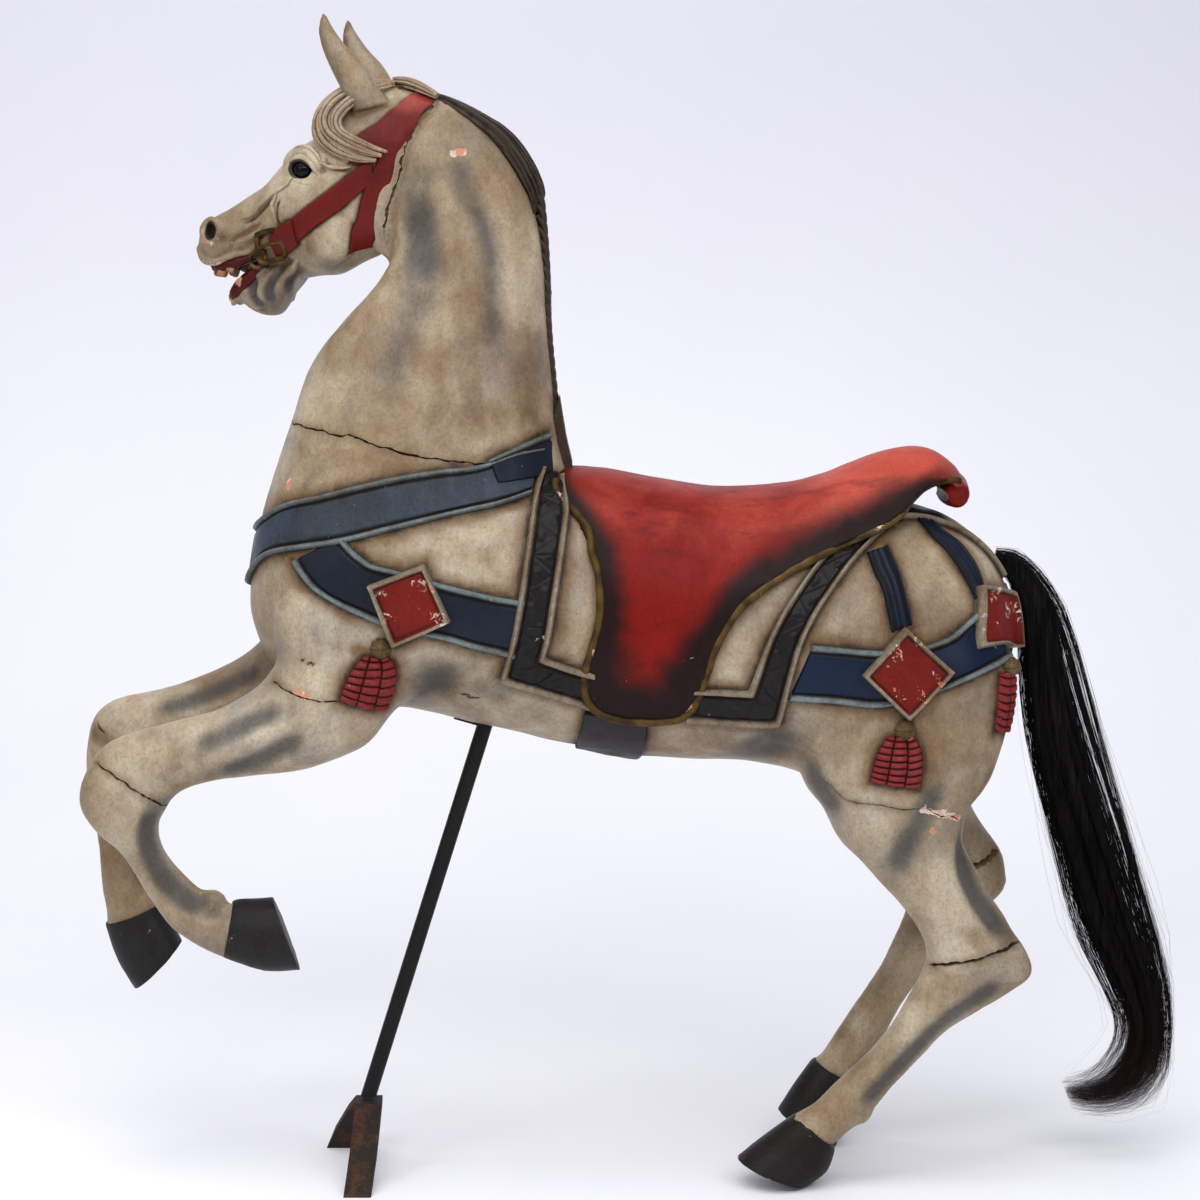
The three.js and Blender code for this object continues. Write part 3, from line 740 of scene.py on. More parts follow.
class Carver:
    """Works strokes into a mesh and stores the masks of its finish."""

    def __init__(self, obj: bpy.types.Object) -> None:
        """Reads obj's points and normals."""
        self.obj = obj
        self.points = read_points(obj)
        self.normals = read_normals(obj)
        self.masks = {mask: np.zeros(len(self.points)) for mask in Mask}

    def paths(self, stroke: Stroke) -> list[np.ndarray]:
        """The stroke's line on each side where it is drawn."""
        sides = [np.array(stroke.path, float)]
        if stroke.both:
            sides.append(mirrored(stroke.path))
        smooth = [smooth_rows(p, 4) if 2 < len(p) < 14 else p for p in sides]
        smooth = [turn_head(p) for p in smooth] if stroke.turned else smooth
        if stroke.snap:
            surface = Surface(self.obj)
            smooth = [surface.snap(p)[0] for p in smooth]
        return smooth

    def carve(self, strokes: Sequence[Stroke]) -> None:
        """Works the strokes into the shape and the masks."""
        for stroke in strokes:
            for path in self.paths(stroke):
                width = stroke.width * (SHADE_SPREAD if stroke.mask is Mask.SHADE else 1)
                gap = distance_to_path(self.points, path, width)
                hit = gap < width
                fall = (1 - gap[hit] / width) / (1 - 0.85 * stroke.firm)
                if stroke.taper and len(path) > 2:
                    fall = fall * self.taper(self.points[hit], path, stroke.width)
                fall = ease(fall)
                if stroke.depth:
                    self.points[hit] -= self.normals[hit] * (stroke.depth * fall)[:, None]
                if stroke.mask:
                    old = self.masks[stroke.mask]
                    old[hit] = np.maximum(old[hit], stroke.strength * fall)

    @staticmethod
    def taper(points: np.ndarray, path: np.ndarray, width: float) -> np.ndarray:
        """Fades a stroke out near both of its ends."""
        ends = np.minimum(np.linalg.norm(points - path[0], axis=1),
                          np.linalg.norm(points - path[-1], axis=1))
        return np.clip(0.35 + 0.65 * ends / (1.4 * width), 0, 1)

    def push(self, amount: np.ndarray) -> None:
        """Moves every point along its normal by its own amount."""
        self.points += self.normals * amount[:, None]

    def write_shape(self) -> None:
        """Moves the mesh to the carved points."""
        write_points(self.obj, self.points)
        self.normals = read_normals(self.obj)

    def cavity(self, rounds: int) -> np.ndarray:
        """How far each point lies below its surroundings.

        Args:
            rounds: How many rounds of averaging; more reach wider hollows.

        Returns:
            Millimetres, positive in hollows.
        """
        edges = np.empty(len(self.obj.data.edges) * 2, int)
        self.obj.data.edges.foreach_get("vertices", edges)
        a, b = edges[0::2], edges[1::2]
        count = np.bincount(edges, minlength=len(self.points))[:, None]
        count = np.maximum(count, 1)
        smooth = self.points.copy()
        for _ in range(rounds):
            total = np.zeros_like(smooth)
            for k in range(3):
                total[:, k] = np.bincount(a, smooth[b, k], len(smooth)) + np.bincount(
                    b, smooth[a, k], len(smooth))
            smooth = total / count
        return ((smooth - self.points) * self.normals).sum(1)

    def add(self, mask: Mask, amount: np.ndarray) -> None:
        """Adds to one mask, kept from 0 to 1."""
        self.masks[mask] = np.clip(self.masks[mask] + amount, 0, 1)

    def lift(self, mask: Mask, values: np.ndarray) -> None:
        """Raises one mask to these values where they are higher."""
        self.masks[mask] = np.maximum(self.masks[mask], values)

    def write_masks(self) -> None:
        """Stores the masks as point attributes."""
        store_masks(self.obj, self.masks)

    def write(self) -> None:
        """Stores the carved points and the masks."""
        self.write_shape()
        self.write_masks()


def store_masks(obj: bpy.types.Object, masks: dict[Mask, np.ndarray]) -> None:
    """Stores masks as point attributes of obj."""
    for mask, values in masks.items():
        layer = obj.data.attributes.get(mask.value) or obj.data.attributes.new(mask.value, "FLOAT", "POINT")
        layer.data.foreach_set("value", np.clip(values, 0, 1).astype(np.float32))


@dataclass(frozen=True)
class Crack:
    """An open joint or split in the wood: a jagged wedge cut along a line of the surface."""

    path: Points
    width: float
    depth: float = 7.0
    seed: int = 1
    both: bool = False

    def lines(self) -> list[np.ndarray]:
        """The crack's line on each side where it runs."""
        return [np.array(self.path, float)] + ([mirrored(self.path)] if self.both else [])

    def cut_from(self, obj: bpy.types.Object, surface: Surface) -> None:
        """Cuts the wedge out of obj."""
        rng = np.random.default_rng(self.seed)
        for line in self.lines():
            count = max(4, int(path_length(line) / 4))
            path = resampled(smooth_rows(line, 6), count)
            path, normals = surface.snap(path)
            along = unit(np.gradient(path, axis=0))
            across = unit(np.cross(along, normals))
            wobble = np.convolve(rng.normal(0, 1.0, count + 2), (0.3, 0.4, 0.3), "valid")
            path = path + across * (wobble * 1.5)[:, None]
            ends = np.minimum(np.arange(count), np.arange(count)[::-1]) / 2.0
            half = self.width / 2 * np.clip(ends + 0.25, 0, 1) * rng.uniform(0.35, 1.6, count)
            rings = []
            for i in range(count):
                top, low = path[i] + normals[i] * 3, path[i] - normals[i] * self.depth
                rings.append([top - across[i] * half[i] * 1.5, top + across[i] * half[i] * 1.5,
                              low + across[i] * half[i] * 0.25, low - across[i] * half[i] * 0.25])
            points, faces = closed_skin(np.array(rings))
            cut(obj, new_mesh("crack_tool", points, faces))


# ------------------------------------------------------------------ finishes
def srgb(red: float, green: float, blue: float) -> tuple[float, float, float, float]:
    """A colour given as 0..255 display values, in linear light."""
    def linear(v: float) -> float:
        """One channel in linear light."""
        v /= 255
        return v / 12.92 if v <= 0.04045 else ((v + 0.055) / 1.055) ** 2.4
    return (linear(red), linear(green), linear(blue), 1.0)


class Wiring:
    """Short ways to add and join the nodes of one tree."""

    def __init__(self, tree: bpy.types.NodeTree) -> None:
        """Works on the given tree."""
        self.tree = tree

    def add(self, kind: str, **settings: object) -> bpy.types.Node:
        """A new node with its properties set."""
        node = self.tree.nodes.new(kind)
        for key, value in settings.items():
            setattr(node, key, value)
        return node

    def feed(self, socket: bpy.types.NodeSocket, value: object) -> None:
        """Links a socket to another socket, or sets its constant."""
        if isinstance(value, bpy.types.NodeSocket):
            self.tree.links.new(value, socket)
        else:
            socket.default_value = value

    def place(self, stretch: Triple = (1, 1, 1)) -> bpy.types.NodeSocket:
        """Object coordinates, stretched by these factors."""
        coords = self.add("ShaderNodeTexCoord")
        mapping = self.add("ShaderNodeMapping")
        self.feed(mapping.inputs["Vector"], coords.outputs["Object"])
        mapping.inputs["Scale"].default_value = stretch
        return mapping.outputs["Vector"]

    def noise(self, scale: float, detail: float = 4.0, rough: float = 0.55, warp: float = 0.0,
              stretch: Triple = (1, 1, 1)) -> bpy.types.NodeSocket:
        """A noise value over space."""
        node = self.add("ShaderNodeTexNoise")
        self.feed(node.inputs["Vector"], self.place(stretch))
        for key, value in (("Scale", scale), ("Detail", detail), ("Roughness", rough), ("Distortion", warp)):
            node.inputs[key].default_value = value
        return node.outputs["Fac"]

    def between(self, value: object, low: float, high: float, out_low: float = 0.0,
                out_high: float = 1.0) -> bpy.types.NodeSocket:
        """The value's range low..high carried to out_low..out_high, smoothly."""
        node = self.add("ShaderNodeMapRange", interpolation_type="SMOOTHSTEP")
        for key, number in (("From Min", low), ("From Max", high), ("To Min", out_low), ("To Max", out_high)):
            node.inputs[key].default_value = number
        self.feed(node.inputs["Value"], value)
        return node.outputs["Result"]

    def maths(self, operation: str, a: object, b: object = 0.0, clamp: bool = False) -> bpy.types.NodeSocket:
        """One sum on one or two values."""
        node = self.add("ShaderNodeMath", operation=operation, use_clamp=clamp)
        self.feed(node.inputs[0], a)
        self.feed(node.inputs[1], b)
        return node.outputs[0]

    def mix(self, factor: object, a: object, b: object, blend: str = "MIX") -> bpy.types.NodeSocket:
        """Two colours mixed."""
        node = self.add("ShaderNodeMix", data_type="RGBA", blend_type=blend)
        self.feed(node.inputs["Factor"], factor)
        self.feed(node.inputs["A"], a)
        self.feed(node.inputs["B"], b)
        return [o for o in node.outputs if o.type == "RGBA"][0]

    def mask(self, mask: Mask) -> bpy.types.NodeSocket:
        """One vertex mask."""
        return self.add("ShaderNodeAttribute", attribute_name=mask.value).outputs["Fac"]


def patina_group() -> bpy.types.NodeTree:
    """The ageing that all painted wood shares: brown varnish, dirt in hollows together with the painted shade
    that shares its mask, chips and crackle.

    Returns:
        A node group with Color, Roughness and Height outputs.
    """
    tree = bpy.data.node_groups.get("patina")
    if tree:
        return tree
    tree = bpy.data.node_groups.new("patina", "ShaderNodeTree")
    for name, kind, value in (("Paint", "NodeSocketColor", (0.5, 0.5, 0.5, 1)),
                              ("Varnish", "NodeSocketFloat", 0.5), ("Wear", "NodeSocketFloat", 0.3),
                              ("DirtAndShade", "NodeSocketFloat", 0.8), ("Gloss", "NodeSocketFloat", 0.45)):
        socket = tree.interface.new_socket(name=name, in_out="INPUT", socket_type=kind)
        socket.default_value = value
    for name, kind in (("Color", "NodeSocketColor"), ("Roughness", "NodeSocketFloat"),
                       ("Height", "NodeSocketFloat")):
        tree.interface.new_socket(name=name, in_out="OUTPUT", socket_type=kind)
    w = Wiring(tree)
    given = w.add("NodeGroupInput").outputs
    clouds = w.noise(7, 4, 0.55, 0.3)
    blotch = w.noise(34, 6, 0.62, 0.8)
    brush = w.noise(30, 5, 0.6, 0.5, (1, 1, 0.3))
    grain = w.noise(260, 5, 0.65, 0.4, (1, 1, 0.8))
    speck = w.noise(520, 3, 0.6)
    fleck = w.noise(150, 4, 0.7, 0.5)
    stain = w.maths("ADD", w.maths("MULTIPLY", clouds, 0.6), w.maths("MULTIPLY", blotch, 0.4))
    stain = w.maths("MULTIPLY", w.between(stain, 0.38, 0.68), given["Varnish"], True)
    colour = w.mix(w.maths("MULTIPLY", stain, 0.8), given["Paint"], srgb(186, 152, 108), "MULTIPLY")
    rub = w.maths("MULTIPLY", w.between(brush, 0.36, 0.74), w.maths("MULTIPLY", given["Varnish"], 0.5))
    colour = w.mix(rub, colour, srgb(176, 142, 104), "MULTIPLY")
    fine = w.maths("MULTIPLY", w.between(grain, 0.36, 0.76), w.maths("MULTIPLY", given["Varnish"], 0.5))
    colour = w.mix(fine, colour, srgb(146, 116, 86), "MULTIPLY")
    specks = w.maths("MULTIPLY", w.between(speck, 0.55, 0.7), 0.35)
    colour = w.mix(specks, colour, srgb(96, 74, 54), "MULTIPLY")
    # Near-black brown where the grime mask rises: dirt in grooves and joints, and the painted shade round the
    # eyes and nostrils.
    ragged = w.maths("ADD", w.mask(Mask.GRIME_AND_SHADE), w.maths("MULTIPLY", w.maths("SUBTRACT", blotch, 0.5), 0.8))
    dirt = w.maths("MULTIPLY", w.between(ragged, 0.1, 0.8), given["DirtAndShade"], True)
    colour = w.mix(dirt, colour, srgb(26, 18, 13))
    rough_chip = w.maths("ADD", w.mask(Mask.BARE), w.maths("MULTIPLY", w.maths("SUBTRACT", fleck, 0.5), 1.7))
    patches = w.maths("ADD", w.noise(60, 6, 0.75, 1.0), w.maths("MULTIPLY", given["Wear"], 0.16))
    chip = w.maths("MAXIMUM", w.between(rough_chip, 0.46, 0.54), w.between(patches, 0.70, 0.715))
    under = w.mix(w.between(w.noise(64, 3, 0.5), 0.46, 0.52), srgb(190, 124, 100), srgb(196, 184, 170))
    colour = w.mix(w.maths("MULTIPLY", chip, 0.88), colour, under)
    crazing = w.add("ShaderNodeTexVoronoi", feature="DISTANCE_TO_EDGE")
    w.feed(crazing.inputs["Vector"], w.place())
    crazing.inputs["Scale"].default_value = 150
    crazed = w.maths("MULTIPLY", w.between(crazing.outputs["Distance"], 0.0, 0.05, 1, 0),
                     w.between(w.noise(11, 3, 0.5, 0.5), 0.58, 0.68))
    colour = w.mix(w.maths("MULTIPLY", crazed, 0.2), colour, srgb(58, 42, 30))
    rough = w.maths("ADD", given["Gloss"], w.maths("MULTIPLY", w.maths("SUBTRACT", blotch, 0.5), 0.35))
    rough = w.maths("ADD", rough, w.maths("MULTIPLY", w.maths("ADD", chip, dirt), 0.25), True)
    height = w.maths("MULTIPLY", fleck, 0.4)
    height = w.maths("ADD", height, w.maths("MULTIPLY", w.maths("ADD", brush, grain), 0.4))
    height = w.maths("SUBTRACT", height, w.maths("MULTIPLY", crazed, 0.35))
    height = w.maths("SUBTRACT", height, w.maths("MULTIPLY", chip, 0.5))
    result = w.add("NodeGroupOutput")
    w.feed(result.inputs["Color"], colour)
    w.feed(result.inputs["Roughness"], rough)
    w.feed(result.inputs["Height"], height)
    return tree


MADE: dict[str, bpy.types.Material] = {}


@dataclass(frozen=True)
class Finish:
    """One finish: a colour under the shared ageing."""

    name: str
    colour: tuple[float, float, float, float]
    varnish: float = 0.5
    wear: float = 0.3
    # how strongly the grime mask darkens: dirt, and painted shade where the head puts it
    dirt: float = 0.85
    gloss: float = 0.42
    coat: float = 0.02
    bump: float = 0.22
    metal: float = 0.0
    shine: float = 0.14

    def paint(self, w: Wiring) -> object:
        """The colour before ageing, as a socket or a constant."""
        return self.colour

    def material(self) -> bpy.types.Material:
        """The finish as a node material, made once."""
        if self.name not in MADE:
            made = MADE[self.name] = bpy.data.materials.new(f"{self.name}_worn")
            made.use_nodes = True
            self.wire(Wiring(made.node_tree), made.node_tree.nodes["Principled BSDF"])
        return MADE[self.name]

    def emboss(self, w: Wiring, shader: bpy.types.Node, height: bpy.types.NodeSocket,
               depth: float) -> None:
        """Feeds a height to the shader as a bump of so many metres."""
        bump = w.add("ShaderNodeBump")
        bump.inputs["Strength"].default_value = self.bump
        bump.inputs["Distance"].default_value = depth
        w.feed(bump.inputs["Height"], height)
        w.feed(shader.inputs["Normal"], bump.outputs["Normal"])

    def wire(self, w: Wiring, shader: bpy.types.Node) -> None:
        """Joins the paint and its ageing to the shader."""
        aged = w.add("ShaderNodeGroup")
        aged.node_tree = patina_group()
        w.feed(aged.inputs["Paint"], self.paint(w))
        for key, value in (("Varnish", self.varnish), ("Wear", self.wear), ("DirtAndShade", self.dirt),
                           ("Gloss", self.gloss)):
            aged.inputs[key].default_value = value
        self.emboss(w, shader, aged.outputs["Height"], 0.002)
        w.feed(shader.inputs["Base Color"], aged.outputs["Color"])
        w.feed(shader.inputs["Roughness"], aged.outputs["Roughness"])
        shader.inputs["Metallic"].default_value = self.metal
        shader.inputs["Coat Weight"].default_value = self.coat
        shader.inputs["Coat Roughness"].default_value = 0.35
        shader.inputs["Specular IOR Level"].default_value = self.shine


@dataclass(frozen=True)
class CoatOfPaint(Finish):
    """The horse's cream coat with grey brushed shading, painted shade on downward faces, and warm brown
    patches.
    """

    light: tuple[float, float, float, float] = srgb(188, 177, 154)
    shadow: tuple[float, float, float, float] = srgb(60, 61, 64)
    warm: tuple[float, float, float, float] = srgb(112, 82, 46)

    def paint(self, w: Wiring) -> bpy.types.NodeSocket:
        """Cream, varied, with the shade and warm masks mixed in."""
        base = w.mix(w.between(w.noise(6, 4, 0.55, 0.5), 0.38, 0.6), self.colour, self.light)
        base = w.mix(w.between(w.noise(13, 4, 0.6, 0.6), 0.48, 0.7, 0, 0.55), base, srgb(134, 133, 130))
        streaks = w.noise(6, 3, 0.5, 0.3, (1, 1, 0.5))
        base = w.mix(w.between(streaks, 0.5, 0.7, 0, 0.45), base, srgb(136, 112, 70))
        soft = w.noise(24, 5, 0.6, 0.5, (1, 1, 0.5))
        ragged = w.maths("MULTIPLY", w.maths("SUBTRACT", soft, 0.5), 0.4)
        warm = w.maths("ADD", w.mask(Mask.WARM), w.maths("MULTIPLY", ragged, 1.5))
        base = w.mix(w.between(warm, 0.1, 0.95, 0, 0.88), base, self.warm)
        grey = w.maths("ADD", w.mask(Mask.SHADE), ragged)
        return w.mix(w.between(grey, 0.02, 0.95, 0, 0.86), base, self.shadow)


@dataclass(frozen=True)
class TwoTone(Finish):
    """Paint that runs to a second colour where the edge mask rises."""

    second: tuple[float, float, float, float] = srgb(40, 36, 36)
    third: tuple[float, float, float, float] = srgb(190, 70, 58)

    def paint(self, w: Wiring) -> bpy.types.NodeSocket:
        """The first colour, its lighter tone by the warm mask and the second by the edge mask."""
        ragged = w.maths("MULTIPLY", w.maths("SUBTRACT", w.noise(20, 5, 0.6, 0.6), 0.5), 0.7)
        lighter_tone = w.maths("ADD", w.mask(Mask.WARM), ragged)
        base = w.mix(w.between(lighter_tone, 0.2, 0.9), self.colour, self.third)
        streak = w.noise(38, 5, 0.65, 0.3, (0.35, 1, 1))
        base = w.mix(w.between(streak, 0.5, 0.75, 0, 0.5), base, srgb(62, 16, 14))
        edge = w.maths("ADD", w.mask(Mask.EDGE), w.maths("MULTIPLY", ragged, 0.8))
        return w.mix(w.between(edge, 0.12, 0.92), base, self.second)


@dataclass(frozen=True)
class Hair(Finish):
    """Loose horsehair, black with a browner tip and lighter strands that are partly painted sheen."""

    tip: tuple[float, float, float, float] = srgb(44, 29, 23)

    def wire(self, w: Wiring, shader: bpy.types.Node) -> None:
        """Joins the hair's nodes to the shader."""
        fine = w.noise(260, 3, 0.6, 0.0, (1, 1, 0.05))
        # Lighter strands by fine noise: partly the hairs' own mix of tones, partly painted sheen in place of
        # a real shine.
        base = w.mix(w.between(fine, 0.4, 0.7), self.colour, srgb(27, 23, 22))
        base = w.mix(w.mask(Mask.WARM), base, self.tip)
        w.feed(shader.inputs["Base Color"], base)
        w.feed(shader.inputs["Roughness"], w.between(fine, 0.3, 0.7, 0.5, 0.65))
        shader.inputs["Specular IOR Level"].default_value = 0.05


@dataclass(frozen=True)
class Iron(Finish):
    """Dark or rusty iron bar."""

    rust: tuple[float, float, float, float] = srgb(84, 54, 36)
    rusted: float = 0.5

    def wire(self, w: Wiring, shader: bpy.types.Node) -> None:
        """Joins the iron's nodes to the shader."""
        blotch = w.noise(48, 7, 0.7, 0.8)
        fine = w.noise(340, 5, 0.7)
        amount = w.between(w.maths("ADD", blotch, w.maths("MULTIPLY", w.maths("SUBTRACT", fine, 0.5), 0.4)),
                           0.72 - 0.45 * self.rusted, 0.82 - 0.3 * self.rusted)
        base = w.mix(w.between(fine, 0.35, 0.75, 0, 0.7), self.colour, srgb(34, 29, 26))
        shader.inputs["Specular IOR Level"].default_value = 0.2
        w.feed(shader.inputs["Base Color"], w.mix(amount, base, self.rust))
        w.feed(shader.inputs["Roughness"], w.between(amount, 0, 1, self.gloss, 0.9))
        w.feed(shader.inputs["Metallic"], w.between(amount, 0, 1, self.metal, 0.1))
        self.emboss(w, shader, w.maths("ADD", fine, blotch), 0.001)


@dataclass(frozen=True)
class Glass(Finish):
    """The dark glass of an eye."""

    def wire(self, w: Wiring, shader: bpy.types.Node) -> None:
        """Joins the glass's nodes to the shader."""
        w.feed(shader.inputs["Base Color"], w.mix(w.between(w.noise(120, 3), 0.4, 0.7), self.colour,
                                                  srgb(10, 8, 7)))
        w.feed(shader.inputs["Roughness"], w.between(w.noise(60, 2), 0.3, 0.7, 0.16, 0.26))
        shader.inputs["Specular IOR Level"].default_value = 0.14


class Finishes:
    """Every finish of the horse and its stand."""

    coat = CoatOfPaint("coat", srgb(145, 128, 102), varnish=0.72, wear=0.0, dirt=0.94, gloss=0.46,
                       coat=0.05, shine=0.3)
    navy = Finish("navy_strap", srgb(24, 31, 44), varnish=0.4, wear=0.05, gloss=0.42)
    faded_navy = Finish("faded_navy_strap", srgb(58, 68, 82), varnish=0.7, wear=0.1, gloss=0.42)
    blue = Finish("blue_strap", srgb(16, 30, 54), varnish=0.4, wear=0.12, gloss=0.42)
    girth = Finish("girth_grey", srgb(48, 46, 50), varnish=0.6, wear=0.14, gloss=0.5)
    grey_trim = Finish("blue_grey_trim", srgb(112, 126, 130), varnish=0.95, wear=0.1)
    silver_trim = Finish("silver_trim", srgb(142, 132, 116), varnish=1.0, wear=0.22)
    gold_trim = Finish("gold_trim", srgb(92, 72, 32), varnish=0.9, wear=0.12, metal=0.1, gloss=0.42)
    leather = Finish("tooled_leather", srgb(25, 23, 24), varnish=0.4, wear=0.06, gloss=0.4)
    # The saddle's third colour is the lighter red of its upward faces, a painted highlight.
    saddle = TwoTone("saddle_red", srgb(124, 22, 15), varnish=0.45, wear=0.02, gloss=0.44, coat=0.0,
                     shine=0.1, third=srgb(184, 76, 60), second=srgb(31, 17, 16))
    bridle = TwoTone("bridle_red", srgb(100, 24, 18), varnish=0.5, wear=0.14, gloss=0.42,
                     third=srgb(150, 60, 52), second=srgb(60, 12, 12))
    panel = Finish("panel_red", srgb(116, 26, 17), varnish=0.6, wear=0.1, gloss=0.44)
    tassel = TwoTone("tassel_red", srgb(124, 38, 40), varnish=0.5, wear=0.2, gloss=0.46,
                     third=srgb(146, 66, 64), second=srgb(40, 10, 12))
    knob = Finish("knob_gold", srgb(104, 86, 54), varnish=0.9, wear=0.1)
    forelock = Finish("forelock_grey", srgb(168, 152, 132), varnish=0.9, wear=0.02)
    mane = Finish("mane_dark", srgb(66, 57, 50), varnish=0.7, wear=0.02, gloss=0.42)
    hoof = Finish("hoof_charcoal", srgb(36, 35, 36), varnish=0.9, wear=0.2, gloss=0.5)
    mouth = Finish("mouth_red", srgb(70, 16, 16), varnish=0.5, wear=0.05)
    tooth = Finish("tooth", srgb(186, 138, 110), varnish=0.9, wear=0.35)
    brass = Finish("old_brass", srgb(104, 82, 42), varnish=0.9, wear=0.02, metal=0.4, gloss=0.4)
    horsehair = Hair("horsehair", srgb(7, 6, 7))
    rod = Iron("rod_iron", srgb(13, 12, 12), gloss=0.55, metal=0.1, rusted=0.18, bump=0.25)
    foot = Iron("foot_iron", srgb(40, 32, 28), gloss=0.6, metal=0.1, rusted=0.55, bump=0.35)
    glass = Glass("eye_glass", srgb(5, 5, 6))


def dress(obj: bpy.types.Object, finish: Finish) -> bpy.types.Object:
    """Gives obj one finish."""
    obj.data.materials.clear()
    obj.data.materials.append(finish.material())
    return obj


def carry(obj: bpy.types.Object, slot: str, *nodes: str) -> bpy.types.Object:
    """Puts a finished piece on the horse's frame.

    Args:
        obj: The piece.
        slot: The record's material slot; not used.
        *nodes: CAD nodes that it stands for.

    Returns:
        The same object.
    """
    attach(obj, "root")
    if nodes:
        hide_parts(*nodes)
    LOG.info("%s: %d faces", obj.name, len(obj.data.polygons))
    return obj


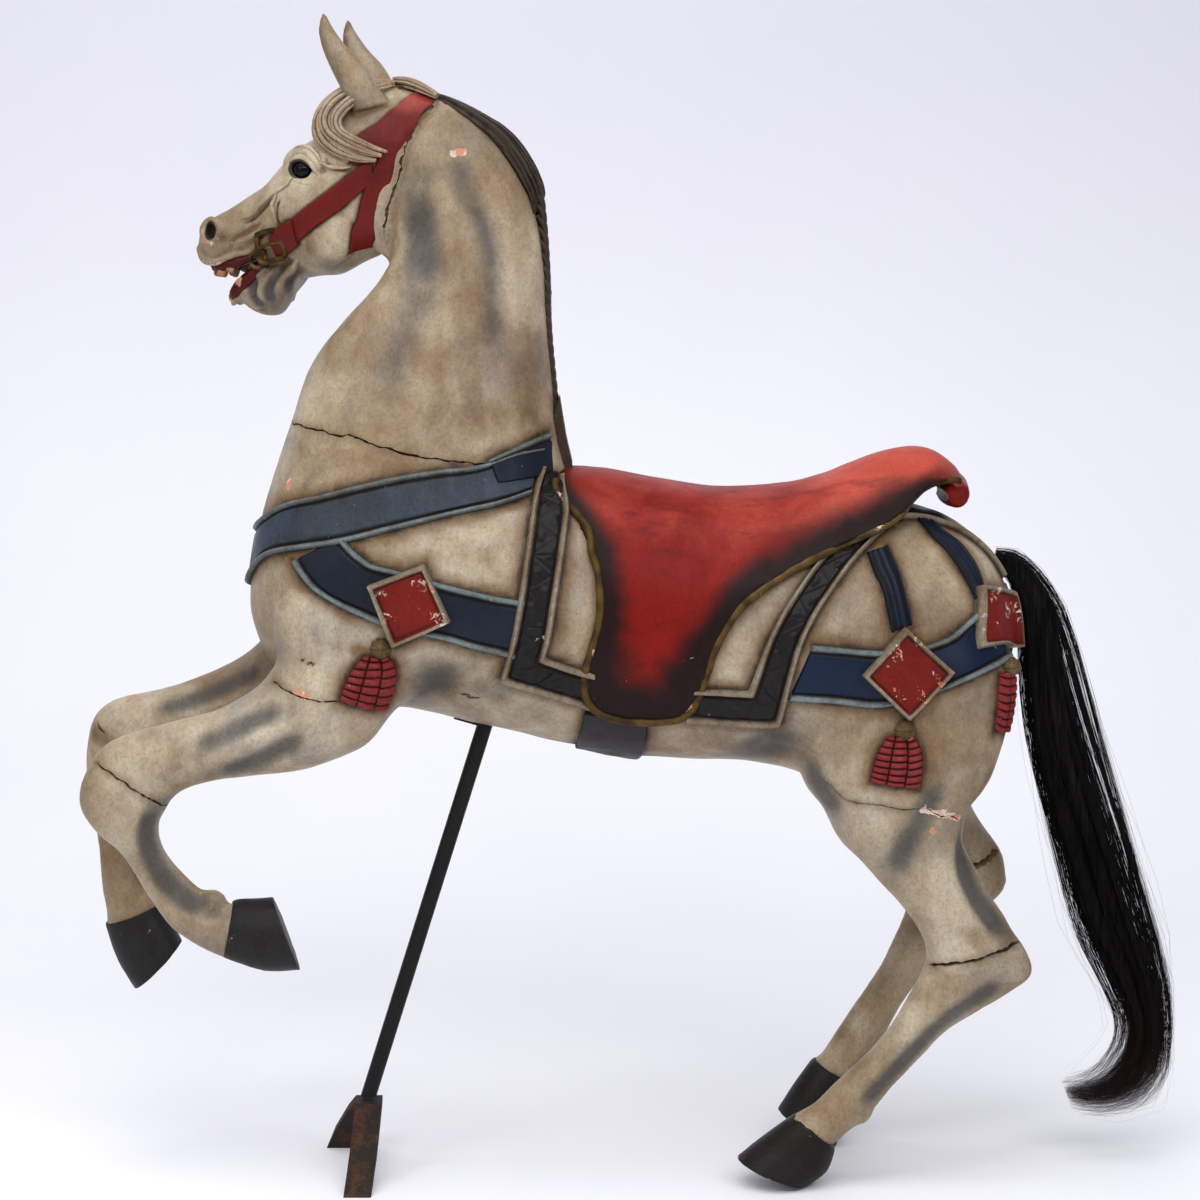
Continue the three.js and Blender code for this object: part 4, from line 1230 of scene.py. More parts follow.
# ------------------------------------------------------------------ the carved body
@dataclass
class CarvedBody:
    """Trunk, neck and legs, carved as one and painted cream."""

    voxel: float = 4.56
    strokes: tuple[Stroke, ...] = (
        shadow(((-238, -42, 1095), (-237, -46, 1060), (-232, -55, 1033), (-227, -63, 1001),
                (-232, -69, 970), (-245, -74, 938), (-257, -79, 912), (-269, -84, 884), (-284, -88, 856)),
               30, 6, 0.62, both=True),
        shadow(((-240, -44, 1092), (-236, -52, 1055), (-231, -60, 1018), (-233, -68, 978)), 27, 3, 1.0,
               both=True, firm=0.25),
        grime(((-241, -40, 1078), (-244, -42, 1045), (-243, -48, 1014)), 19, 3, 0.55, both=True),
        brown(((-215, -50, 1060), (-205, -60, 1010), (-200, -68, 960)), 24, 0.7, both=True),
        brown(((-290, -60, 940), (-320, -70, 900), (-345, -70, 870)), 26, 0.3, both=True),
        shadow(((-200, -37, 1128), (-189, -45, 1099), (-178, -49, 1075), (-166, -51, 1052),
                (-157, -54, 1025), (-154, -57, 996), (-153, -61, 964), (-152, -64, 915)), 20, 4, 0.72,
               both=True),
        shadow(((-180, -49, 1080), (-166, -51, 1052), (-156, -54, 1020), (-154, -57, 990)), 13, 1, 0.95,
               both=True),
        shadow(((-201, -36, 1135), (-194, -40, 1115)), 13, 0, 0.4, both=True),
        shadow(((-304, -82, 859), (-299, -86, 851), (-295, -89, 843)), 18, 0, 0.5, both=True),
        brown(((-194, -87, 870), (-168, -85, 843), (-147, -80, 822)), 40, 0.75, both=True),
        brown(((-215, -70, 1005), (-210, -78, 940), (-215, -84, 880)), 26, 0.45, both=True),
        brown(((-125, -50, 1050), (-116, -55, 960), (-112, -65, 860)), 30, 0.6, both=True),
        brown(((-190, -80, 860), (-150, -76, 850), (-112, -60, 842)), 34, 0.7, both=True),
        brown(((-200, -110, 700), (-160, -120, 705), (-130, -118, 712)), 36, 0.7, both=True),
        brown(((-90, -124, 640), (-70, -124, 690), (-80, -110, 730)), 30, 0.5, both=True),
        brown(((100, -130, 640), (130, -130, 610), (96, -128, 570)), 26, 0.45, both=True),
        brown(((-360, -60, 800), (-340, -88, 790), (-300, -100, 800)), 26, 0.35, both=True),
        # brown varnish down the neck
        brown(((-205, -60, 1112), (-196, -60, 1030), (-182, -60, 960), (-190, -60, 890)), 60, 0.62,
              both=True, snap=True),
        brown(((-128, -60, 1000), (-116, -60, 930), (-118, -60, 850), (-150, -60, 806)), 74, 0.74,
              both=True, snap=True),
        brown(((-250, -60, 800), (-200, -60, 815), (-160, -60, 826)), 46, 0.62, both=True, snap=True),
        # a knot low on the neck
        grime(((-304, -70, 852), (-295, -70, 847), (-293, -70, 840), (-298, -70, 832), (-307, -70, 831),
               (-313, -70, 838), (-312, -70, 847), (-304, -70, 852)), 6, 0.8, 0.7, snap=True, taper=False),
        grime(((-308, -70, 842), (-300, -70, 840)), 5, 0.8, 0.55, snap=True),
        # the joint of head and neck behind the throat strap
        *THROAT_JOINT,
        # front legs: the grooves between the tendons
        shadow(((-475, -119, 494), (-447, -121, 507), (-423, -120, 519), (-399, -121, 530),
                (-372, -126, 539)), 16, 5, 0.95),
        shadow(((-450, -109, 463), (-419, -115, 473), (-393, -123, 487), (-372, -126, 498),
                (-350, -128, 512)), 16, 5, 0.95),
        grime(((-475, -119, 494), (-447, -121, 507), (-423, -120, 519), (-399, -121, 530),
               (-372, -126, 539)), 5, 1.5, 0.55),
        shadow(((-545, 56, 507), (-506, 54, 518), (-478, 51, 529), (-443, 49, 545), (-416, 44, 563)), 15, 5,
               1.0),
        shadow(((-513, -98, 426), (-524, -101, 401), (-521, -102, 376), (-509, -103, 351),
                (-487, -102, 330), (-462, -100, 318)), 16, 6, 1.0, firm=0.3),
        Stroke(((-500, -92, 385), (-494, -96, 361), (-478, -97, 340), (-460, -98, 330)), 8, -4.0),
        shadow(((-560, 66, 345), (-562, 70, 320), (-557, 70, 300)), 9, 3, 0.7),
        shadow(((-513, 98, 420), (-540, 104, 380), (-560, 103, 330)), 9, 3, 0.6),
        shadow(((-475, 121, 494), (-447, 123, 510), (-399, 121, 530), (-372, 126, 539)), 10, 3.5, 0.8),
        shadow(((-350, -128, 541), (-330, -128, 530), (-300, -124, 520)), 20, 2, 0.3, both=True),
        shadow(((-185, -118, 592), (-200, -115, 577), (-220, -98, 556), (-236, -78, 541)), 30, 6, 0.95,
               both=True),
        shadow(((-170, -105, 560), (-150, -100, 548)), 22, 2, 0.45, both=True),
        # flank and hind legs
        shadow(((110, -60, 470), (138, -85, 487), (158, -106, 508), (166, -110, 520)), 30, 5, 1.0,
               both=True),
        shadow(((176, -90, 490), (186, -98, 465), (200, -100, 440), (213, -100, 405)), 22, 3, 1.0,
               both=True),
        shadow(((327, -124, 466), (307, -123, 427), (289, -120, 388), (272, -107, 348)), 19, 3.5, 0.9,
               both=True),
        shadow(((380, -75, 430), (366, -88, 405), (357, -90, 383), (359, -97, 356), (377, -98, 320),
                (401, -94, 285)), 17, 7, 1.0, firm=0.35),
        Stroke(((350, -98, 385), (350, -103, 356), (366, -104, 318)), 5, -1.5),
        Stroke(((372, -75, 375), (370, -82, 350), (390, -85, 318)), 6, -2.0),
        shadow(((384, 76, 430), (372, 90, 400), (372, 98, 370), (395, 98, 330)), 12, 5, 0.9, firm=0.2),
        shadow(((398, -103, 236), (350, -101, 203), (308, -97, 163), (267, -96, 119), (246, -97, 92)), 14,
               3.5, 0.95),
        shadow(((340, 56, 300), (310, 56, 250), (285, 57, 205), (260, 57, 170)), 14, 2, 0.8),
        shadow(((314, -92, 280), (312, -95, 262), (318, -96, 248)), 13, 2, 0.6),
        brown(((330, -104, 300), (360, -106, 290), (392, -102, 292)), 24, 0.6, both=True),
        brown(((395, -100, 262), (418, -92, 258)), 16, 0.5, both=True),
        brown(((350, -112, 480), (330, -120, 500)), 40, 0.3, both=True),
        brown(((300, -112, 668), (320, -104, 660), (330, -100, 680)), 42, 0.55, both=True),
        brown(((-590, -95, 440), (-560, -110, 430)), 34, 0.4),
        brown(((-470, -106, 306), (-455, -106, 300), (-443, -106, 290)), 20, 0.5),
        brown(((-600, 70, 300), (-575, 66, 290), (-560, 66, 285)), 24, 0.6),
        brown(((-610, 66, 480), (-590, 62, 470)), 24, 0.8),
        brown(((-380, -88, 640), (-368, -104, 610), (-340, -116, 590)), 40, 0.22, both=True),
        # fine splits in the paint
        grime(((-386, -78, 610), (-380, -86, 604), (-376, -92, 598), (-378, -88, 592)), 2.6, 1.5, 1.0,
              firm=0.6, taper=False),
        grime(((-384, -79, 604), (-371, -96, 596), (-357, -112, 590), (-345, -119, 586)), 2.6, 1.5, 1.0,
              firm=0.6),
        grime(((-373, -110, 575), (-366, -116, 570), (-358, -122, 565)), 2.6, 1.5, 1.0, firm=0.6),
        grime(((-206, -97, 555), (-179, -93, 547), (-147, -94, 538)), 2.6, 1.0, 0.9, firm=0.5),
        # paint gone down to the primer
        bare(((-196, -38, 1126), (-194, -38, 1124)), 6, 0.6, 1.0, firm=0.6),
        bare(((-188, -36, 1127), (-185, -36, 1126)), 6, 0.4, 1.0, firm=0.6),
        bare(((-374, -67, 775), (-373, -68, 772)), 7, 0.5, 1.0, firm=0.6),
        bare(((-366, -124, 559), (-352, -128, 553)), 7, 1, 1.0, firm=0.5),
        bare(((305, -121, 428), (325, -118, 424), (345, -104, 417)), 6, 1, 1.0, firm=0.4),
        bare(((316, -120, 406), (318, -120, 403)), 6, 0.8, 1.0, firm=0.5),
        bare(((-572, 79, 521), (-566, 79, 519)), 6, 0.5, 0.9, firm=0.4),
        bare(((196, -105, 452), (204, -110, 449)), 7, 1.5, 0.8, firm=0.3),
    )
    cracks: tuple[Crack, ...] = (
        Crack(((-384, 0, 836), (-376, -18, 837), (-359, -54, 834), (-339, -73, 832), (-316, -87, 826),
               (-305, -90, 828), (-284, -98, 818), (-257, -102, 812), (-230, -104, 805), (-199, -102, 800),
               (-162, -93, 796)), 1.7, 8, 3),
        Crack(((-384, 0, 836), (-362, 50, 834), (-316, 87, 827), (-280, 99, 818)), 1.3, 6, 4),
        Crack(((-580, -98, 476), (-572, -108, 472), (-553, -115, 461), (-532, -114, 444), (-517, -107, 434),
               (-505, -89, 424), (-504, -70, 424)), 1.7, 9, 5),
        Crack(((-390, -102, 565), (-369, -121, 557), (-358, -127, 551), (-337, -130, 549), (-313, -129, 546)),
               1.4, 6, 6),
        Crack(((320, -84, 250), (326, -97, 253), (344, -104, 257), (370, -108, 262), (392, -105, 269),
               (416, -87, 278), (424, -70, 280)), 2.8, 10, 7),
        Crack(((196, -105, 456), (211, -113, 447), (227, -118, 438), (258, -125, 435), (280, -126, 430),
               (312, -122, 427), (353, -93, 410)), 1.0, 5, 8),
        Crack(((378, 51, 327), (386, 53, 330), (402, 58, 338), (414, 68, 346)), 5.5, 12, 9),
        Crack(THROAT_SPLIT, 2.8, 6, 11, both=True),
        Crack(((-613, 66, 496), (-608, 62, 488), (-598, 60, 482)), 2.4, 6, 10),
    )
    joints: tuple[tuple[float, float, float, float], ...] = (
        (-330, -95, 585, 90), (-330, 95, 585, 90), (-350, 95, 560, 60), (200, -95, 480, 70),
        (200, 95, 480, 70), (385, -80, 520, 60), (385, 80, 520, 60), (-300, 0, 520, 70), (200, 0, 450, 80),
        (300, -120, 560, 60), (300, 120, 560, 60), (-560, -85, 430, 26), (-590, 85, 450, 26),
    )
    fetlocks: tuple[tuple[Triple, Triple], ...] = (
        ((-462, -87, 322), (17, 17, 13)), ((-551, 85, 288), (14, 17, 17)),
        ((240, -78, 86), (20, 19, 17)), ((262, 80, 118), (18, 19, 16)),
    )
    carver: Carver | None = None

    def clay(self) -> bpy.types.Object:
        """The rough body: every loft joined and made one skin."""
        rows = {"trunk": TRUNK, "hind_l": HIND_LEFT, "hind_r": HIND_RIGHT, "fore_l": FORE_LEFT,
                "fore_r": FORE_RIGHT}
        parts = [Loft(r).build(name) for name, r in rows.items()]
        parts += [Ball((-330, y, 622), (62, 42, 62)).build("shoulder") for y in (-82, 82)]
        parts += [Ball((300, y, 560), (88, 46, 84)).build("haunch") for y in (-82, 82)]
        parts += [Ball(spot, radii).build("fetlock") for spot, radii in self.fetlocks]
        body = joined("carved_body", parts)
        apply_modifier(body, "REMESH", mode="VOXEL", voxel_size=self.voxel / 1000)
        apply_modifier(body, "SMOOTH", factor=0.5, iterations=5)
        return body

    def relax(self, obj: bpy.types.Object) -> None:
        """Softens the hollows where a leg grows out of the trunk."""
        points = read_points(obj)
        group = obj.vertex_groups.new(name="joints")
        weight = np.zeros(len(points))
        for x, y, z, reach in self.joints:
            gap = np.linalg.norm(points - (x, y, z), axis=1)
            weight = np.maximum(weight, ease(1.25 - gap / reach))
        for i in np.nonzero(weight > 0.02)[0]:
            group.add([int(i)], float(weight[i]), "REPLACE")
        apply_modifier(obj, "SMOOTH", factor=0.5, iterations=26, vertex_group="joints")
        obj.vertex_groups.clear()

    def build(self) -> tuple[bpy.types.Object, Surface]:
        """Carves the body.

        Returns:
            The body, its masks not yet stored, and the surface that the harness lies on.
        """
        body = self.clay()
        self.relax(body)
        carver = Carver(body)
        carver.push(0.7 * value_noise(carver.points, 46, 11) + 0.25 * value_noise(carver.points, 15, 12))
        carver.carve(self.strokes)
        carver.write_shape()
        surface = Surface(body)
        for crack in self.cracks:
            crack.cut_from(body, surface)
        self.carver = Carver(body)
        return body, surface

    def paint(self, body: bpy.types.Object, edges: Sequence[np.ndarray]) -> None:
        """Stores the masks: brushed shading with painted shade on faces that look down, dirt in hollows and
        round the harness, bare patches.

        Args:
            body: The carved body.
            edges: Lines where raised pieces meet the coat.
        """
        carver = self.carver
        flat = [replace(s, depth=0, snap=False) for s in self.strokes if s.mask]
        for edge in edges:
            path = coarse(edge, 7)
            flat += [brown(path, 24, 0.8, taper=False), grime(path, 8, 0, 0.6, taper=False)]
        for crack in self.cracks:
            for line in crack.lines():
                path = as_points(line)
                flat += [grime(path, 4.5, 0, 0.42, taper=False), brown(path, 16, 0.5, taper=False)]
        carver.carve(flat)
        # Painted shade: faces that look down turn greyer.
        below = np.clip(-carver.normals[:, 2] - 0.15, 0, 1)
        carver.add(Mask.SHADE, 0.3 * below)
        hollow = np.clip(carver.cavity(14) / 1.6, 0, 1)
        carver.add(Mask.WARM, 0.5 * hollow)
        carver.write_masks()
        shade(dress(body, Finishes.coat), 50)


@dataclass
class Hooves:
    """The four charcoal hooves, cut off flat at the sole."""

    bevel: float = 1.2
    sole_turn: float = 0.13

    def build(self) -> bpy.types.Object:
        """All four hooves as one piece."""
        parts = [Loft(rows, sides=48, steps=5).build(f"hoof_{i}") for i, rows in enumerate(HOOVES)]
        for part in parts:
            apply_modifier(part, "BEVEL", width=self.bevel / 1000, segments=2, limit_method="ANGLE",
                           angle_limit=math.radians(50))
        hooves = joined("hooves", parts)
        face_out(hooves)
        carver = Carver(hooves)
        low = value_noise(carver.points, 9, 21)
        for rows in HOOVES:
            tx, tz, bx, bz, y, half = rows[-1][:6]
            rim = [(tx, y, tz), ((tx + bx) / 2, y - half, (tz + bz) / 2), (bx, y, bz),
                   ((tx + bx) / 2, y + half, (tz + bz) / 2), (tx, y, tz)]
            worn = 0.5 if tz < 60 else 0.16
            carver.carve([bare(rim, 6, 0, worn)])
            if tz > 60:
                near = np.hypot(carver.points[:, 0] - (tx + bx) / 2, carver.points[:, 2] - (tz + bz) / 2) < 80
                near &= np.abs(carver.points[:, 1] - y) < 50
                carver.points[near, 0] -= self.sole_turn * (carver.points[near, 1] - y)
            top = [(rows[0][k], rows[0][4], rows[0][k + 1]) for k in (0, 2)]
            ring = [(top[0][0], y, top[0][2]), (np.mean([p[0] for p in top]), y - rows[0][5],
                                               np.mean([p[2] for p in top])), (top[1][0], y, top[1][2])]
            carver.carve([grime(ring, 9, 0, 0.3, taper=False)])
        carver.push(0.25 * low)
        carver.write()
        return shade(dress(hooves, Finishes.hoof), 40)


# ------------------------------------------------------------------ studio
@dataclass
class Studio:
    """A pale floor that sweeps up into a backdrop, soft lights and the camera."""

    target: Triple = (-0.030, 0.0, 0.6399)
    distance: float = 3.2
    pitch: float = 7.0
    lens: float = 87.27
    floor_drop: float = 0.0002

    def sweep(self) -> None:
        """The seamless floor and backdrop."""
        profile = [(-4.5, 0.0), (1.1, 0.0)]
        for i in range(1, 15):
            a = math.pi / 2 * i / 14
            profile.append((1.1 + 1.0 * math.sin(a), 1.0 - 1.0 * math.cos(a)))
        profile.append((2.1, 4.2))
        points = [(x, y, z - self.floor_drop) for x in (-5.0, 5.0) for y, z in profile]
        n = len(profile)
        mesh = bpy.data.meshes.new("backdrop")
        mesh.from_pydata(points, [], [(i, i + n, i + n + 1, i + 1) for i in range(n - 1)])
        backdrop = bpy.data.objects.new("backdrop", mesh)
        bpy.context.scene.collection.objects.link(backdrop)
        mesh.shade_smooth()
        paper = bpy.data.materials.new("backdrop_paper")
        paper.use_nodes = True
        w = Wiring(paper.node_tree)
        shader = paper.node_tree.nodes["Principled BSDF"]
        height = w.add("ShaderNodeSeparateXYZ")
        w.feed(height.inputs["Vector"], w.place())
        pale = w.mix(w.between(w.noise(1.2, 2), 0.3, 0.7), srgb(246, 246, 248), srgb(242, 242, 247))
        # Painted shade: the paper turns greyer and bluer up the backdrop, for the light falling off with
        # height.
        w.feed(shader.inputs["Base Color"], w.mix(w.between(height.outputs["Z"], 0.2, 1.7, 0, 0.85), pale,
                                                  srgb(218, 216, 226)))
        shader.inputs["Roughness"].default_value = 0.85
        kinds = ("BsdfTransparent", "NewGeometry", "MixShader")
        clear, facing, both = (w.add(f"ShaderNode{kind}") for kind in kinds)
        w.feed(both.inputs[0], facing.outputs["Backfacing"])
        w.feed(both.inputs[1], shader.outputs["BSDF"])
        w.feed(both.inputs[2], clear.outputs["BSDF"])
        w.feed(paper.node_tree.nodes["Material Output"].inputs["Surface"], both.outputs["Shader"])
        mesh.materials.append(paper)

    def light(self, name: str, place: Triple, size: tuple[float, float], power: float,
              colour: Triple = (1, 1, 1), aim: Triple = (0, 0, 0.6)) -> None:
        """One softbox.

        Args:
            name: The lamp's name.
            place: Where it hangs.
            size: Width and height.
            power: Watts.
            colour: Light colour.
            aim: What it points at.
        """
        data = bpy.data.lights.new(name, "AREA")
        data.shape, data.size, data.size_y = "RECTANGLE", size[0], size[1]
        data.energy, data.color = power, colour
        lamp = bpy.data.objects.new(name, data)
        lamp.location = place
        lamp.rotation_euler = (Vector(aim) - Vector(place)).to_track_quat("-Z", "Y").to_euler()
        bpy.context.scene.collection.objects.link(lamp)

    def build(self) -> None:
        """Sets up the floor, the lights, the world and the camera."""
        self.sweep()
        self.light("top_soft", (-0.5, -0.5, 3.1), (3.0, 2.4), 66, (1, 1, 1))
        self.light("front_left", (-2.6, -2.3, 2.1), (1.4, 1.6), 24, (1, 0.99, 0.97))
        self.light("front_right", (2.6, -2.4, 1.7), (1.5, 1.8), 8, (0.95, 0.97, 1))
        self.light("floor_wash", (0.5, -2.4, 2.2), (3.6, 0.8), 52, (1, 1, 1), (0.25, -1.0, 0))
        world = bpy.data.worlds.new("studio_air")
        bpy.context.scene.world = world
        world.use_nodes = True
        back = world.node_tree.nodes["Background"]
        back.inputs["Color"].default_value = (0.86, 0.88, 1.0, 1)
        back.inputs["Strength"].default_value = 0.34
        camera_data = bpy.data.cameras.new("camera")
        camera_data.lens, camera_data.sensor_width = self.lens, 36
        camera = bpy.data.objects.new("camera", camera_data)
        pitch = math.radians(self.pitch)
        tx, ty, tz = self.target
        camera.location = (tx, ty - self.distance * math.cos(pitch), tz + self.distance * math.sin(pitch))
        camera.rotation_euler = (math.pi / 2 - pitch, 0, 0)
        bpy.context.scene.collection.objects.link(camera)
        bpy.context.scene.camera = camera
        bpy.context.scene.view_settings.view_transform = "Standard"


# ------------------------------------------------------------------ the head
@dataclass
class Head:
    """The carved head: skull, open jaws, ears, brow and nostrils, looking to the horse's right."""

    voxel: float = 2.1
    clay_tubes: tuple[Rows, ...] = (
        # brow over the eye, lower lid, ridge of the face and its branch, nostril rim, lips, cheek line
        ((-374, -36, 1104, 3, 3), (-371, -40, 1117, 5, 5), (-360, -42, 1125, 6.5, 6), (-347, -45, 1124, 6, 6),
         (-336, -49, 1114, 5, 5), (-330, -50, 1104, 3, 3)),
        ((-372, -42, 1101, 2, 2), (-366, -47, 1094, 3.5, 3), (-354, -49, 1091, 4, 3.5),
         (-340, -50, 1095, 3, 3)),
        ((-356, -47, 1092, 3, 3), (-366, -47, 1086, 5, 5), (-381, -44, 1080, 5, 5),
         (-398, -38, 1073, 4.5, 4.5), (-412, -35, 1062, 3.5, 3.5), (-424, -33, 1054, 2, 2)),
        ((-380, -44, 1080, 3, 3), (-384, -45, 1068, 4, 4), (-383, -45, 1056, 3.5, 3.5),
         (-379, -45, 1046, 2, 2)),
        ((-474, -27, 1036, 3, 3), (-474, -24, 1046, 4, 4), (-466, -24, 1054, 5, 4.5),
         (-456, -29, 1051, 5, 4.5), (-451, -34, 1042, 4, 4), (-457, -34, 1033, 3.5, 3),
         (-467, -31, 1031, 3, 3)),
        ((-480, -20, 1026, 4, 4), (-473, -24, 1012, 5, 5), (-460, -25, 1009, 5, 4.5),
         (-446, -27, 1014, 4.5, 4), (-430, -28, 1018, 4, 3.5), (-414, -30, 1020, 3, 3)),
        ((-446, -8, 963, 3, 3), (-440, -18, 968, 4, 4), (-428, -25, 981, 4.5, 4), (-412, -29, 994, 4, 4),
         (-400, -31, 1004, 3, 3)),
        ((-438, -29, 1036, 3, 3), (-425, -32, 1044, 4, 4), (-410, -36, 1052, 4, 4), (-398, -38, 1056, 3, 3)),
        ((-424, -29, 1026, 3, 3), (-412, -33, 1035, 4, 4), (-400, -37, 1042, 4, 4), (-390, -39, 1045, 3, 3)),
        ((-418, -20, 1000, 3, 4), (-424, -24, 986, 5, 6), (-424, -24, 970, 5, 7), (-412, -20, 958, 4, 5)),
        ((-396, -22, 1004, 3, 4), (-405, -26, 988, 5, 6), (-408, -25, 972, 5, 7), (-400, -18, 960, 4, 5)),
        ((-375, -24, 1004, 3, 4), (-385, -28, 992, 5, 5), (-390, -25, 978, 5, 6), (-386, -16, 968, 4, 4)),
    )
    veins: tuple[Points, ...] = (
        ((-362, -48, 1100), (-368, -48, 1092), (-380, -46, 1084), (-391, -44, 1078), (-403, -41, 1069),
         (-412, -38, 1060), (-424, -36, 1056)),
        ((-380, -46, 1083), (-384, -46, 1074), (-385, -46, 1067), (-383, -46, 1056), (-380, -46, 1049)),
        ((-372, -36, 1122), (-362, -38, 1132), (-349, -42, 1132), (-338, -47, 1124), (-330, -50, 1114)),
        ((-334, -52, 1116), (-322, -53, 1111), (-310, -53, 1109), (-298, -52, 1110)),
    )
    eyelids: tuple[Rows, ...] = (
        ((-370, -38, 1108, 1.5, 1.5), (-364, -45, 1117, 3.6, 3.4), (-352, -50.5, 1120, 4.6, 4.6),
         (-340, -52, 1112, 4.2, 4.2), (-332, -50, 1101, 2.6, 2.6), (-328, -47, 1094, 1, 1)),
        ((-370, -38, 1108, 1.5, 1.5), (-364, -46, 1099, 2.6, 2.4), (-353, -50, 1094, 3.2, 3),
         (-341, -51, 1093, 3, 3), (-331, -48, 1096, 1.2, 1.2)),
    )
    strokes: tuple[Stroke, ...] = on_both_cheeks(
        grime(((-363, -36, 1130), (-355, -38, 1130), (-347, -43, 1127), (-340, -47, 1120)), 2.4, 1.4, 0.8,
              firm=0.3),
        grime(((-366, -36, 1124), (-356, -43, 1127), (-345, -47, 1124), (-336, -50, 1115)), 2.6, 1.2, 0.9,
              firm=0.3),
        grime(((-362, -22, 1136), (-351, -32, 1135), (-342, -39, 1130)), 2.4, 1.0, 0.6, firm=0.3),
        grime(((-326, -50, 1121), (-322, -52, 1113), (-312, -53, 1108), (-298, -51, 1107),
               (-291, -50, 1112)), 2.6, 1.8, 0.85, firm=0.3),
        Stroke(((-340, -51, 1112), (-330, -53, 1108), (-318, -54, 1104)), 10, 2.5, Mask.WARM, 0.5),
        grime(((-364, -49, 1089), (-378, -46, 1079), (-390, -44, 1073), (-402, -41, 1064),
               (-412, -38, 1055), (-424, -36, 1051)), 3.4, 2.4, 0.7),
        grime(((-376, -48, 1077), (-380, -47, 1068), (-380, -47, 1056), (-376, -47, 1047)), 3.6, 1.8, 0.8),
        Stroke(((-404, -40, 1050), (-420, -36, 1041), (-434, -35, 1034), (-440, -32, 1028)), 5, 3.0,
               Mask.WARM, 1.0),
        grime(((-398, -41, 1039), (-414, -36, 1031), (-427, -32, 1024)), 5, 3.0, 0.6),
        shadow(((-455, -36, 1040), (-446, -37, 1034), (-441, -36, 1026)), 7, 2, 0.8),
        shadow(((-456, -22, 1062), (-440, -32, 1052), (-434, -36, 1040)), 15, 0, 0.42),
        brown(((-340, -40, 1150), (-320, -50, 1140)), 22, 0.35),
        brown(((-312, -56, 1084), (-334, -56, 1066), (-352, -52, 1046)), 34, 0.75, snap=True),
        brown(((-338, -30, 1266), (-334, -30, 1250)), 16, 1.0, taper=False),
        shadow(((-332, -36, 1236), (-316, -40, 1196)), 24, 0, 0.45),
        shadow(((-470, -18, 1042), (-460, -30, 1066), (-442, -34, 1080)), 16, 0, 0.34),
        shadow(((-440, -24, 985), (-410, -34, 990), (-390, -36, 975)), 24, 0, 0.42),
        shadow(((-478, -26, 1030), (-470, -30, 1020), (-460, -30, 1020)), 8, 0, 0.5),
        *THROAT_JOINT,
        shadow(((-410, -24, 1002), (-415, -28, 988), (-416, -28, 972), (-405, -22, 960)), 5, 2.4, 1.0,
               firm=0.2),
        shadow(((-376, -34, 1009), (-390, -33, 995), (-398, -30, 979), (-396, -22, 963)), 6, 2.4, 1.0,
               firm=0.2),
        shadow(((-362, -26, 1001), (-375, -27, 987), (-381, -12, 974)), 6, 2.4, 1.0),
        shadow(((-345, -40, 1010), (-328, -34, 1002), (-310, -30, 1004)), 14, 0, 0.5),
        brown(((-352, -52, 1040), (-345, -50, 1026)), 20, 0.4),
        brown(((-330, -54, 1090), (-340, -53, 1075)), 22, 0.5),
        brown(((-300, -44, 1170), (-285, -46, 1164)), 16, 0.8),
        grime(((-310, -50, 1190), (-297, -52, 1180), (-280, -52, 1180)), 10, 0, 0.6),
        brown(((-330, -40, 1262), (-327, -44, 1272)), 9, 0.9, taper=False),
        Stroke(((-318, -52, 1205), (-328, -54, 1228), (-331, -50, 1248)), 8, 3.5, Mask.WARM, 0.9),
        bare(((-472, -31, 1035), (-461, -35, 1030), (-453, -35, 1035)), 5, 0, 0.5),
        bare(((-482, -14, 1020), (-474, -22, 1008), (-462, -26, 1006), (-450, -26, 1011)), 8, 0, 0.6),
        bare(((-443, -12, 972), (-438, -20, 978), (-428, -25, 990)), 3, 0, 0.6),
    )
    carver: Carver | None = None

    def clay(self) -> bpy.types.Object:
        """The rough head with its built-up features, made one skin."""
        parts = [Loft(SKULL, turned=True).build("skull"), Loft(LOWER_JAW, 40, turned=True).build("jaw"),
                 Ball((-237, 4, 1149), (42, 38, 38)).build("poll")]
        for side in SIDES:
            rows = [(fx, fz, rx, rz, side * y, half) for fx, fz, rx, rz, y, half in EAR]
            parts.append(Loft(rows, 32, turned=True).build("ear"))
            parts.append(Ball((-328, side * 30, 1046), (34, 24, 40), True).build("cheek"))
            parts.append(Ball((-355, side * 34, 1108), (24, 15, 22), True).build("orbit"))
            for knots in self.clay_tubes:
                parts.append(Tube(on_side(knots, side), 12, 5, turned=True).build("clay"))
        head = joined("carved_head", parts)
        apply_modifier(head, "REMESH", mode="VOXEL", voxel_size=self.voxel / 1000)
        apply_modifier(head, "SMOOTH", factor=0.5, iterations=3)
        return head

